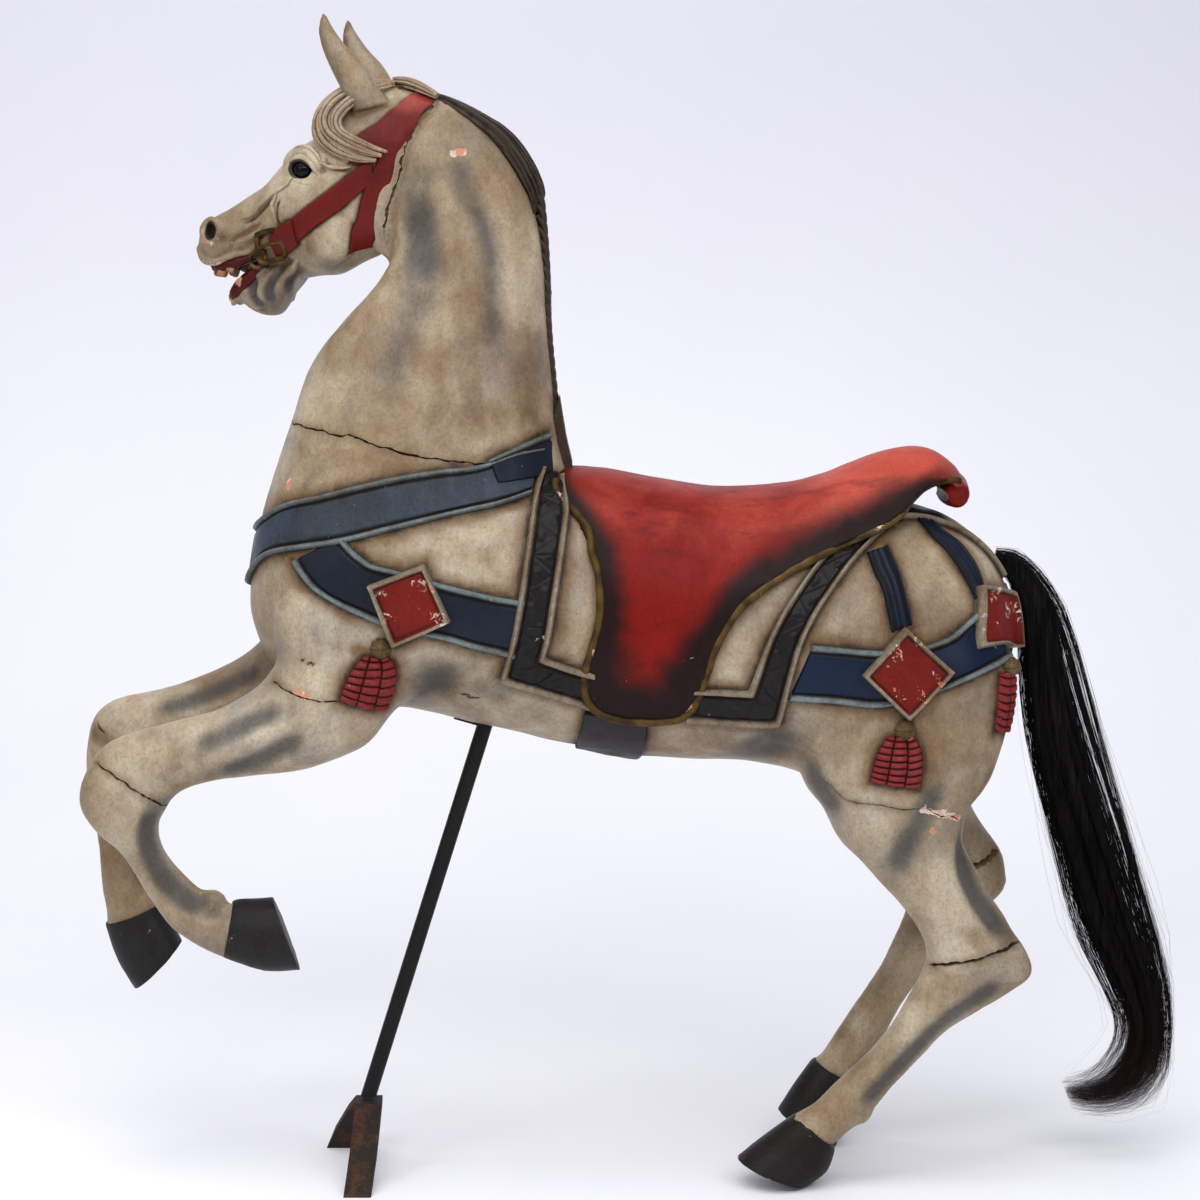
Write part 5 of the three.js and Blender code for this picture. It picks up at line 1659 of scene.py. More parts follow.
    def build(self) -> tuple[bpy.types.Object, Surface]:
        """Carves the head.

        Returns:
            The head and its surface for the bridle.
        """
        head = self.clay()
        for side in SIDES:
            x, y, z = EYE
            cut(head, Ball((x - 1, side * (y + 6), z), (12.4, 12, 9.5), True, 0.5).build("socket"))
            x, y, z = NOSTRIL
            cut(head, Ball((x, side * y, z - 1), (6.5, 14, 9.5), True, -0.35).build("nostril"))
        lids = []
        for side in SIDES:
            for knots in self.eyelids:
                lids.append(Tube(on_side(knots, side), 12, 6, turned=True).build("lid"))
        surface = Surface(head)
        for side in SIDES:
            for path in self.veins:
                line = smooth_rows(on_side(path, side), 5)
                spots, normals = surface.snap(turn_head(line))
                rise = np.sin(np.linspace(0.25, math.pi - 0.25, len(line)))[:, None]
                knots = np.hstack([spots + normals * 1.2, 3.1 * rise, 2.8 * rise])
                lids.append(Tube(knots.tolist(), 10, 1).build("vein"))
        head = joined("carved_head", [head, *lids])
        face_out(head)
        carver = Carver(head)
        carver.push(0.3 * value_noise(carver.points, 30, 31))
        carver.carve(self.strokes)
        carver.write_shape()
        self.carver = Carver(head)
        return head, Surface(head)

    def paint(self, head: bpy.types.Object, edges: Sequence[np.ndarray]) -> None:
        """Stores the masks of the head's coat, with painted shade round the eyes and on faces that look down.

        Args:
            head: The carved head.
            edges: Lines where straps meet the coat.
        """
        carver = self.carver
        flat = [replace(s, width=s.width * 1.25, depth=0, snap=False) for s in self.strokes if s.mask]
        for edge in edges:
            path = coarse(edge, 5)
            flat += [brown(path, 9, 0.6, taper=False), grime(path, 3.4, 0, 0.6, taper=False)]
        carver.carve(flat)
        straight = turn_head(carver.points, -HEAD_YAW)
        for side in SIDES:
            # Painted shade round each eye: a dark rim, widened and deepened towards the brow above and in
            # front.
            away = straight - (EYE[0] - 1, side * (EYE[1] + 6), EYE[2])
            gap = np.linalg.norm(away / (12.5, 15, 9.5), axis=1)
            shadowed = 0.5 + 0.5 * (away[:, 2] * 0.7 - away[:, 0] * 0.7) / (np.linalg.norm(away, axis=1) + 1)
            ring = ease((1.12 + 0.3 * shadowed - gap) * 5) * (0.55 + 0.45 * shadowed)
            carver.lift(Mask.GRIME_AND_SHADE, ring)
            # Darker in and round each nostril hole.
            away = straight - (NOSTRIL[0], side * NOSTRIL[1], NOSTRIL[2] - 1)
            gap = np.linalg.norm(away / (7.5, 15, 10.5), axis=1)
            carver.lift(Mask.GRIME_AND_SHADE, 0.9 * ease((1.12 - gap) * 5))
        # Painted shade: faces that look down turn greyer.
        below = np.clip(-carver.normals[:, 2] - 0.2, 0, 1)
        carver.add(Mask.SHADE, 0.4 * below)
        hollow = np.clip(carver.cavity(10) / 0.7, 0, 1)
        carver.add(Mask.WARM, 0.7 * hollow)
        carver.write_masks()
        shade(dress(head, Finishes.coat), 60)


@dataclass
class Mouth:
    """The painted inside of the open mouth: gums, tongue bed and the few worn teeth."""

    upper: Rows = (
        (-470, 0, 1007, 15, 5), (-456, 0, 1007, 21, 7), (-440, 0, 1012, 24, 7), (-424, 0, 1016, 27, 6),
        (-408, 0, 1016, 28, 5))
    lower: Rows = (
        (-447, 0, 974, 12, 6), (-438, 0, 984, 20, 7), (-424, 0, 995, 25, 7), (-410, 0, 1006, 27, 7),
        (-400, 0, 1012, 27, 5))
    bars: tuple[Rows, ...] = (
        ((-401, 29, 1008, 4, 5), (-411, 29.5, 1000, 4.5, 6), (-424, 28, 988, 4.5, 6.5),
         (-436, 24, 977, 4.5, 6.5), (-444, 14, 970, 4.5, 6), (-446, 0, 968, 4.5, 6)),
        ((-408, 29, 1017, 3.5, 4), (-424, 28, 1012, 4, 5), (-440, 26, 1007, 4, 5.5), (-456, 21, 1004, 4, 5.5),
         (-466, 10, 1004, 4, 5), (-468, 0, 1004, 4, 5)),
    )
    teeth: Sequence[tuple[Triple, Triple, float]] = (
        ((-453, 19, 999), (5, 5.5, 6.5), 0.35), ((-442, 24, 1003), (4.6, 4.5, 5.5), 0.35),
        ((-462, 9, 999), (4, 5, 6), 0.2), ((-430, 27, 987), (5, 4.5, 5), 0.85),
        ((-441, 15, 970), (5, 5, 6.5), 0.85),
    )

    def build(self) -> list[bpy.types.Object]:
        """The gums and the teeth."""
        gums = joined("gums", [Tube(self.upper, 20, 5, turned=True).build("gum"),
                               Tube(self.lower, 20, 5, turned=True).build("gum"),
                               *[Tube(on_side(bar, -side), 12, 5, turned=True).build("bar")
                                 for bar in self.bars for side in SIDES]])
        teeth = joined("teeth", [self.tooth((x, side * y, z), size, tilt)
                                 for (x, y, z), size, tilt in self.teeth for side in SIDES])
        for obj, size in ((gums, 1.0), (teeth, 0.8)):
            carver = Carver(obj)
            carver.push(size * 0.5 * value_noise(carver.points, 7, 5))
            carver.masks[Mask.GRIME_AND_SHADE] = np.clip(0.5 * value_noise(carver.points, 6, 6), 0, 0.7)
            carver.write()
        return [shade(dress(gums, Finishes.mouth)), shade(dress(teeth, Finishes.tooth))]

    @staticmethod
    def tooth(centre: Triple, size: Triple,
              tilt: float) -> bpy.types.Object:
        """One worn block of a tooth.

        Args:
            centre: Its middle, on the straight head.
            size: Half its length, width and height.
            tilt: How far it leans about the Y axis.

        Returns:
            The closed tooth.
        """
        ball = Ball((0, 0, 0), (1, 1, 1)).build("tooth")
        local = read_points(ball)
        local = np.sign(local) * np.abs(local) ** 0.45 * size
        write_points(ball, turn_head(leaned(local, tilt) + centre))
        return ball


@dataclass
class Eyes:
    """Two dark glass eyes that fit their CAD nodes."""

    radius: float = 11.4

    def build(self) -> list[bpy.types.Object]:
        """The left and the right eye."""
        made = []
        for name, side in (("eye_left", -1), ("eye_right", 1)):
            x, y, z = EYE
            eye = Ball((x, side * y, z), (self.radius,) * 3, True).build(name + "_glass")
            store_masks(eye, {Mask.GRIME_AND_SHADE: np.zeros(len(eye.data.vertices))})
            made.append(carry(shade(dress(eye, Finishes.glass)), "eye_glass", name))
        return made


# ------------------------------------------------------------------ raised pieces on the surface
def grid_solid(name: str, top: np.ndarray, low: np.ndarray, finishes: Sequence[Finish],
               columns: Sequence[int], masks: dict[Mask, np.ndarray]) -> bpy.types.Object:
    """A closed solid between an upper and a lower grid of points.

    Args:
        name: The object's name.
        top: R x C x 3 upper points.
        low: R x C x 3 lower points.
        finishes: The finishes used.
        columns: Which finish each of the C - 1 columns of faces takes.
        masks: R x C values for each mask.

    Returns:
        The object, dressed and with its masks.
    """
    rows, cols = top.shape[:2]
    n = rows * cols
    faces, picks = [], []
    for r in range(rows - 1):
        for c in range(cols - 1):
            a, b = r * cols + c, (r + 1) * cols + c
            faces += [(a, a + 1, b + 1, b), (n + b, n + b + 1, n + a + 1, n + a)]
            picks += [columns[c], columns[c]]
    for r in range(rows - 1):
        for c, pick in ((0, columns[0]), (cols - 1, columns[-1])):
            a, b = r * cols + c, (r + 1) * cols + c
            faces.append((a, b, n + b, n + a) if c == 0 else (b, a, n + a, n + b))
            picks.append(pick)
    for c in range(cols - 1):
        for r in (0, rows - 1):
            a = r * cols + c
            faces.append((a + 1, a, n + a, n + a + 1) if r == 0 else (a, a + 1, n + a + 1, n + a))
            picks.append(columns[c])
    obj = new_mesh(name, np.vstack([top.reshape(-1, 3), low.reshape(-1, 3)]), faces)
    for finish in finishes:
        obj.data.materials.append(finish.material())
    obj.data.polygons.foreach_set("material_index", np.array(picks, np.int32))
    full = {mask: np.zeros(2 * n) for mask in Mask}
    for mask, values in masks.items():
        full[mask][:n] = values.ravel()
    store_masks(obj, full)
    return shade(obj, 50)


def smooth_grid(grid: np.ndarray, rounds: int) -> np.ndarray:
    """Averages a grid of vectors with its neighbours, edges kept in place."""
    for _ in range(rounds):
        inner = grid.copy()
        inner[1:-1] = 0.5 * grid[1:-1] + 0.25 * (grid[:-2] + grid[2:])
        grid = inner.copy()
        inner[:, 1:-1] = 0.5 * grid[:, 1:-1] + 0.25 * (grid[:, :-2] + grid[:, 2:])
        grid = inner
    return grid


@dataclass(frozen=True)
class Tooling:
    """Stamped decoration of a leather band: a zigzag with a boss in each triangle."""

    period: float = 36.0
    line: float = 1.3
    cut: float = 1.6
    boss: float = 2.2

    def relief(self, u: np.ndarray, v: np.ndarray, width: float) -> tuple[np.ndarray, np.ndarray]:
        """Height and dirt over the band.

        Args:
            u: Millimetres along.
            v: -1..1 across the field.
            width: The field's width in millimetres.

        Returns:
            Height in millimetres and dirt from 0 to 1.
        """
        phase = (u / self.period) % 1.0
        wave = 1 - 4 * np.abs(phase - 0.5)
        slope = math.hypot(1, 4 * (width / 2) / self.period)
        gap = np.abs(v - wave) * (width / 2) / slope
        groove = ease(1 - gap / self.line)
        boss = np.zeros_like(u)
        for shift, side in ((0.0, 0.45), (0.5, -0.45)):
            du = ((phase - shift + 0.5) % 1.0 - 0.5) * self.period
            dv = (v - side) * width / 2
            boss = np.maximum(boss, ease(1 - np.hypot(du * 0.8, dv) / (width * 0.23)))
        bar = ease(1 - np.abs(((u / (self.period * 2)) % 1.0) - 0.5) * self.period * 2 / self.line)
        height = self.boss * boss - self.cut * np.maximum(groove, bar)
        return height, np.clip(np.maximum(groove, bar) * 0.5, 0, 1)


@dataclass(frozen=True)
class Ribbon:
    """A carved strap between two edges on the surface.

    corners are the stations where the strap turns sharply; trim is the width of its raised edge.
    """

    name: str
    first: Points
    second: Points
    field: Finish
    edge: Finish
    rise: float = 3.6
    trim: float = 7.0
    trim_rise: float = 5.6
    corners: tuple[int, ...] = ()
    turned: bool = False
    tooling: Tooling | None = None
    spacing: float = 2.6
    grooves: int = 0
    one_trim: bool = False

    def stations(self, side: int) -> np.ndarray:
        """Both edges as dense rows, on the left (-1) or right (1) side."""
        rows = np.hstack([np.array(self.first, float), np.array(self.second, float)])
        if side > 0:
            rows = rows * (1, -1, 1, 1, -1, 1)
        stops = [0, *self.corners, len(rows) - 1]
        runs = [smooth_rows(rows[a:b + 1], 6) for a, b in zip(stops[:-1], stops[1:]) if b > a]
        dense = np.vstack([run[:-1] for run in runs[:-1]] + [runs[-1]])
        middle = (dense[:, :3] + dense[:, 3:]) / 2
        along = run_length(middle)
        wanted = np.linspace(0, along[-1], max(4, int(along[-1] / self.spacing)))
        return np.stack([np.interp(wanted, along, dense[:, k]) for k in range(6)], 1)

    def profile(self, width: float) -> tuple[np.ndarray, np.ndarray, list[int], np.ndarray]:
        """The cross section.

        Args:
            width: The strap's usual width.

        Returns:
            Offsets in millimetres, heights, the finish of each column of faces and the dirt.
        """
        t = self.trim
        near, far = -math.inf, math.inf
        plain = [(0, -0.8, 0.8), (0.5, 0.6 * self.rise, 0.5), (1.4, 0.95 * self.rise, 0.2),
                 (2.4, self.rise, 0)]
        trim = plain
        if t:
            near = t + 0.01
            far = math.inf if self.one_trim else width - t - 0.01
            trim = [(0, -0.8, 1), (0.10 * t, 0.6 * self.trim_rise, 0.3), (0.3 * t, self.trim_rise, 0),
                    (0.68 * t, self.trim_rise, 0), (0.9 * t, 0.62 * self.trim_rise, 0.4),
                    (t, self.rise - 2.2, 1), (t + 1.4, self.rise - 2.0, 1), (t + 2.8, self.rise, 0.4)]
        inner = width - 2 * trim[-1][0]
        count = max(2, int(inner / self.spacing))
        middle = [(trim[-1][0] + inner * i / count, self.rise, 0) for i in range(1, count)]
        back = [(width - o, h, g) for o, h, g in reversed(plain if self.one_trim else trim)]
        table = trim + middle + back
        offsets = np.array([o for o, _, _ in table])
        picks = [int(b <= near or a >= far) for a, b in zip(offsets[:-1], offsets[1:])]
        return offsets, np.array([h for _, h, _ in table]), picks, np.array([g for _, _, g in table])

    def build(self, surface: Surface, side: int = -1) -> tuple[bpy.types.Object, list[np.ndarray]]:
        """Lays the strap on the surface.

        Args:
            surface: What it lies on.
            side: -1 for the left, 1 for the right.

        Returns:
            The strap and the two lines where it meets the surface.
        """
        rows = self.stations(side)
        first, second = rows[:, :3], rows[:, 3:]
        if self.turned:
            first, second = turn_head(first), turn_head(second)
        widths = np.linalg.norm(second - first, axis=1)
        usual = float(np.median(widths))
        offsets, heights, picks, dirt = self.profile(usual)
        share = offsets / usual
        grid = first[:, None] * (1 - share[None, :, None]) + second[:, None] * share[None, :, None]
        base, normals = surface.lay(grid, 2, 6)
        high = np.repeat(heights[None], len(rows), 0)
        marks = np.repeat(dirt[None], len(rows), 0)
        u = run_length((first + second) / 2)
        inside = (offsets > self.trim + 2) & (offsets < usual - self.trim - 2)
        if self.tooling:
            width = usual - 2 * self.trim
            v = (offsets - usual / 2) / (width / 2)
            uu, vv = np.meshgrid(u, v, indexing="ij")
            extra, stain = self.tooling.relief(uu, vv, width)
            high = high + extra * inside[None]
            marks = np.maximum(marks, stain * inside[None])
        for k in range(self.grooves):
            place = (k + 1) / (self.grooves + 1) * usual
            groove = ease(1 - np.abs(offsets - place) / 1.8)
            high = high - 1.6 * groove[None]
            marks = np.maximum(marks, groove[None])
        high = high + 0.35 * value_noise(base.reshape(-1, 3), 22, 41).reshape(high.shape) * (high > 1)
        fade = np.minimum(np.arange(len(rows)), np.arange(len(rows))[::-1])
        high[fade == 0] = -1.0
        top = base + normals * high[..., None]
        low = base - normals * 4.5
        masks = {Mask.GRIME_AND_SHADE: marks}
        obj = grid_solid(sided(self.name, side), top, low, (self.field, self.edge), picks, masks)
        return obj, [base[:, 0], base[:, -1]]


@dataclass(frozen=True)
class Boss:
    """A four-cornered plaque with a raised rim round a sunk panel."""

    name: str
    corners: Points
    rise: float = 11.0
    rim: float = 6.5
    rim_rise: float = 2.0
    sink: float = 2.6
    cells: int = 44
    flat: float = 0.55
    seed: int = 91

    def build(self, surface: Surface, side: int = -1) -> tuple[list[bpy.types.Object], list[np.ndarray]]:
        """The plaque on the left (-1) or right (1) side, as a rim piece and a panel in one object."""
        corners = mirrored(self.corners) if side > 0 else np.array(self.corners, float)
        t = np.linspace(0, 1, self.cells + 1)
        u, v = np.meshgrid(t, t, indexing="ij")
        a, b, c, d = corners
        grid = ((1 - u) * (1 - v))[..., None] * a + (u * (1 - v))[..., None] * b + (u * v)[..., None] * c \
            + ((1 - u) * v)[..., None] * d
        base, normals = surface.lay(grid, 0, 20)
        mean = unit(normals.reshape(-1, 3).mean(0))
        lift = ((base - grid) @ mean).max()
        level = base * (1 - self.flat) + (grid + mean * lift) * self.flat
        size = (np.linalg.norm(b - a) + np.linalg.norm(d - a)) / 2
        gap = np.minimum(np.minimum(u, 1 - u), np.minimum(v, 1 - v)) * size
        outer = ease(gap / 1.6)
        rim = outer * (1 - ease((gap - self.rim + 1.6) / 1.6))
        panel = ease((gap - self.rim) / 1.2)
        groove = ease(1 - np.abs(gap - self.rim - 0.5) / 1.6)
        high = self.rise * outer + self.rim_rise * rim - self.sink * panel - 1.0 * groove
        high = high + 0.4 * value_noise(grid.reshape(-1, 3), 14, 51).reshape(high.shape) * outer
        high[gap <= 0] = -1
        normal = unit(normals * (1 - self.flat) + mean * self.flat)
        top = level + normal * high[..., None]
        chipped = 0.42 * (value_noise(grid.reshape(-1, 3), 16, self.seed).reshape(high.shape) > 0.45) * outer
        masks = {Mask.GRIME_AND_SHADE: np.clip(groove * 0.95 + (gap < 1.0) * 0.6, 0, 1), Mask.BARE: chipped}
        name = sided(self.name, side)
        obj = grid_solid(name, top, base - normals * 5, (Finishes.panel, Finishes.silver_trim),
                         [0] * self.cells, masks)
        depths = np.concatenate([gap.ravel(), np.zeros(gap.size)])
        starts = np.array([face.vertices[0] for face in obj.data.polygons])
        inside = (depths[starts] <= self.rim - 0.4).astype(np.int32)
        obj.data.polygons.foreach_set("material_index", inside)
        rim_lines = [base[0], base[-1], base[:, 0], base[:, -1]]
        return [obj], rim_lines


@dataclass(frozen=True)
class Tassel:
    """A carved tassel: a skirt of short rolls in columns, hung below a plaque."""

    name: str
    first: Points
    second: Points
    columns: int = 3
    row: float = 8.0
    rise: float = 8.0
    knob: Triple | None = None

    def build(self, surface: Surface, side: int = -1) -> tuple[list[bpy.types.Object], list[np.ndarray]]:
        """The tassel on the left (-1) or right (1) side, with its knob."""
        strap = Ribbon(self.name, self.first, self.second, Finishes.tassel, Finishes.tassel, spacing=1.1)
        rows = strap.stations(side)
        share = np.linspace(0, 1, 46)
        grid = rows[:, None, :3] * (1 - share[None, :, None]) + rows[:, None, 3:] * share[None, :, None]
        base, normals = surface.lay(grid, 3, 16)
        length = path_length((rows[:, :3] + rows[:, 3:]) / 2)
        u = np.linspace(0, length, len(rows))[:, None]
        v = share[None, :] * self.columns
        column = np.abs(v - np.round(v))
        width = np.linalg.norm(rows[:, :3] - rows[:, 3:], axis=1)[:, None] / self.columns
        column_gap = column * width
        waver = 1.2 * np.sin(np.floor(v) * 2.1 + 0.6) + 2.0 * (share[None] - 0.5) ** 2 * self.row
        phase = np.abs(((u + waver) / self.row + 0.5) % 1.0 - 0.5) * self.row
        groove = np.maximum(ease(1 - phase / 1.5), ease(1 - column_gap / 1.7))
        ends = ease(np.minimum(u, length - u) / 2.5)
        sides = ease(np.minimum(share, 1 - share)[None, :] * width * self.columns / 2.5)
        swell = 0.72 + 0.28 * np.sin(math.pi * np.clip(share, 0, 1))[None, :]
        bulge = 0.5 * ease(column_gap / (width * 0.5)) + 0.5 * ease(phase / (self.row * 0.5))
        high = (self.rise * swell * (0.72 + 0.28 * bulge) - 2.4 * groove) * ends * sides - 0.5
        top = base + normals * high[..., None]
        masks = {Mask.GRIME_AND_SHADE: np.clip(groove * 0.8, 0, 1) * np.ones_like(high), Mask.EDGE: groove * 0.8,
                 Mask.WARM: np.clip(bulge - 0.5, 0, 1) * np.ones_like(high)}
        name = sided(self.name, side)
        made = [grid_solid(name, top, base - normals * 4, (Finishes.tassel,), [0] * 45, masks)]
        if self.knob:
            spot = np.array([self.knob]) * (1, 1 if side < 0 else -1, 1)
            spot, normal = surface.snap(spot.astype(float))
            centre = tuple(spot[0] + normal[0] * 3)
            knob = Ball(centre, (11.5, 9.5, 11)).build(name + "_knob")
            carver = Carver(knob)
            local = carver.points - centre
            carver.push(0.7 * np.cos(np.arctan2(local[:, 2], local[:, 0]) * 10))
            carver.masks[Mask.GRIME_AND_SHADE] = 0.5 - 0.5 * np.cos(np.arctan2(local[:, 2], local[:, 0]) * 10 + math.pi)
            carver.masks[Mask.GRIME_AND_SHADE] *= 0.5
            carver.write()
            made.append(shade(dress(knob, Finishes.knob)))
        return made, [base[:, 0], base[:, -1], base[0], base[-1]]


@dataclass
class Harness:
    """The painted straps, tooled bands, plaques and tassels of the trunk."""

    edges: list[np.ndarray] = field(default_factory=list)

    def straps(self) -> list[Ribbon]:
        """Straps that each side carries."""
        f = Finishes
        return [
            Ribbon(
                "breast_strap_low",
                ((-366, -97, 694), (-359, -105, 680), (-342, -112, 661), (-321, -118, 649),
                 (-294, -124, 637), (-267, -127, 627), (-209, -130, 614), (-177, -129, 605),
                 (-146, -126, 597), (-128, -124, 591)),
                ((-312, -115, 722), (-300, -121, 709), (-290, -122, 701), (-277, -126, 693),
                 (-251, -129, 687), (-209, -132, 675), (-177, -134, 667), (-145, -134, 660),
                 (-127, -134, 657), (-118, -134, 655)),
                f.navy, f.grey_trim, trim=8, trim_rise=7),
            Ribbon("withers_strap", ((-162, -90, 800), (-135, -76, 812), (-108, -58, 823), (-92, -36, 828)),
                   ((-150, -96, 776), (-128, -86, 778), (-104, -74, 782), (-88, -54, 786)), f.navy,
                   f.grey_trim, rise=6.4, trim_rise=8.4, trim=7, one_trim=True),
            Ribbon("crupper_fore", ((243, -108, 706), (250, -120, 684), (258, -123, 666), (268, -130, 620)),
                   ((266, -96, 712), (274, -108, 694), (280, -115, 676), (291, -124, 628)), f.blue, f.navy,
                   trim=4.5, grooves=1, trim_rise=4.4),
            Ribbon(
                "crupper_rear",
                ((300, -50, 733), (315, -72, 718), (329, -79, 704), (347, -88, 678), (361, -91, 648)),
                ((312, -42, 734), (330, -57, 722), (348, -60, 707), (364, -70, 683), (371, -80, 655)),
                f.blue, f.navy, trim=3.6, trim_rise=4.2, grooves=1),
            Ribbon(
                "breeching",
                ((158, -129, 548), (204, -128, 546), (257, -125, 540), (300, -126, 549), (326, -126, 559),
                 (353, -119, 569), (388, -98, 580), (400, -70, 583)),
                ((184, -138, 610), (224, -136, 606), (256, -132, 603), (290, -127, 605), (309, -124, 608),
                 (337, -118, 619), (366, -95, 641), (385, -70, 650)),
                f.blue, f.grey_trim, trim=8, trim_rise=7),
            Ribbon("band_front", ((-106, -60, 792), (-114, -97, 748), (-121, -128, 698), (-127, -134, 657),
                                  (-135, -130, 614), (-148, -114, 566), (-99, -111, 552), (-40, -110, 533)),
                   ((-78, -42, 782), (-72, -94, 748), (-78, -125, 698), (-86, -132, 646), (-90, -129, 620),
                    (-96, -126, 596), (-70, -125, 586), (-44, -123, 580)), f.leather, f.silver_trim, rise=5,
                   trim=8.5, trim_rise=9, corners=(5,), tooling=Tooling(38), spacing=1.6),
            Ribbon("band_rear", ((272, -76, 731), (235, -111, 699), (208, -129, 667), (187, -136, 636),
                                 (171, -138, 599), (153, -113, 518), (110, -113, 521), (50, -113, 526)),
                   ((226, -94, 720), (190, -116, 694), (171, -127, 672), (150, -135, 641), (134, -137, 609),
                    (116, -131, 561), (95, -130, 562), (60, -129, 563)), f.leather, f.silver_trim, rise=5,
                   trim=8.5, trim_rise=9, corners=(5,), tooling=Tooling(44), spacing=1.6),
        ]

    def wrapped(self, left_first: Points, left_second: Points, front: tuple[Points, Points] = ((), ())
                ) -> tuple[Points, Points]:
        """Both edges of a strap that passes from one side over the middle to the other.

        Args:
            left_first: First edge on the left, towards the middle.
            left_second: Second edge on the left.
            front: Middle points of both edges.

        Returns:
            The two whole edges.
        """
        def whole(half: Points, middle: Points) -> Points:
            """One edge with its mirror image."""
            return (*half, *middle, *[(x, -y, z) for x, y, z in reversed(half)])
        return whole(left_first, front[0]), whole(left_second, front[1])

    def crossing(self) -> list[Ribbon]:
        """Straps that cross the horse's middle."""
        f = Finishes
        breast = self.wrapped(
            ((-101, -48, 812), (-131, -74, 808), (-167, -94, 796), (-209, -105, 792), (-251, -109, 786),
             (-294, -107, 776), (-337, -98, 764), (-371, -79, 755), (-392, -58, 742), (-405, -30, 728)),
            ((-112, -84, 764), (-146, -101, 752), (-188, -114, 745), (-230, -121, 735), (-272, -121, 724),
             (-315, -117, 713), (-359, -101, 705), (-394, -75, 696), (-412, -50, 680), (-422, -26, 664)),
            (((-408, 0, 722),), ((-426, 0, 656),)))
        girth = self.wrapped(
            ((-56, -104, 535), (-62, -80, 505), (-66, -50, 487), (-68, -24, 480)),
            ((12, -106, 528), (10, -80, 497), (6, -50, 479), (3, -24, 472)),
            (((-68, 0, 478),), ((3, 0, 470),)))
        spine = (((262, -74, 736), (292, -58, 736), (322, -46, 728), (350, -36, 714), (370, -30, 700),
                  (386, -26, 684), (396, -22, 664)),
                 ((262, 74, 736), (292, 58, 736), (322, 46, 728), (350, 36, 714), (370, 30, 700),
                  (386, 26, 684), (396, 22, 664)))
        return [
            Ribbon("breast_strap", *breast, f.faded_navy, f.grey_trim, spacing=3.4, trim=8, trim_rise=7),
            Ribbon("girth", *girth, f.girth, f.girth, rise=4.5, trim=0),
            Ribbon("spine_strap", *spine, f.leather, f.silver_trim, rise=4, trim=6, trim_rise=7),
        ]

    def build(self, surface: Surface) -> list[bpy.types.Object]:
        """Every raised piece of the harness on the body."""
        made = []
        for strap in self.crossing():
            obj, lines = strap.build(surface)
            obj.name = strap.name
            made.append(obj)
            self.edges += lines
        hung = [
            Boss(
                "plaque_chest",
                ((-285, -126, 672), (-224, -130, 695), (-196, -133, 633), (-259, -124, 605))),
            Boss("plaque_rump", ((282, -127, 628), (335, -121, 578), (287, -129, 526), (235, -133, 577)),
                 seed=92),
            Boss("plaque_tail", ((364, -92, 668), (405, -36, 652), (417, -22, 590), (360, -110, 600)), rise=9,
                 flat=0.25, seed=93),
            Tassel(
                "tassel_chest",
                ((-292, -116, 594), (-304, -124, 580), (-312, -128, 564), (-318, -129, 547)),
                ((-266, -120, 598), (-256, -116, 584), (-258, -112, 560), (-268, -106, 533)),
                3, 8.6, knob=(-272, -122, 604)),
            Tassel("tassel_thigh", ((264, -128, 510), (255, -128, 494), (249, -128, 474), (246, -127, 460)),
                   ((294, -129, 512), (302, -129, 496), (304, -129, 474), (301, -128, 452)), 3, 7.2,
                   knob=(284, -129, 517)),
            Tassel("tassel_tail", ((388, -100, 574), (384, -102, 552), (382, -102, 530), (380, -102, 510)),
                   ((404, -74, 572), (403, -78, 552), (401, -80, 530), (398, -80, 506)), 2, 8.4,
                   knob=(401, -84, 578)),
        ]
        for side in SIDES:
            for strap in self.straps():
                obj, lines = strap.build(surface, side)
                made.append(obj)
                self.edges += lines
            for piece in hung:
                objs, lines = piece.build(surface, side)
                made += objs
                self.edges += lines
        return made


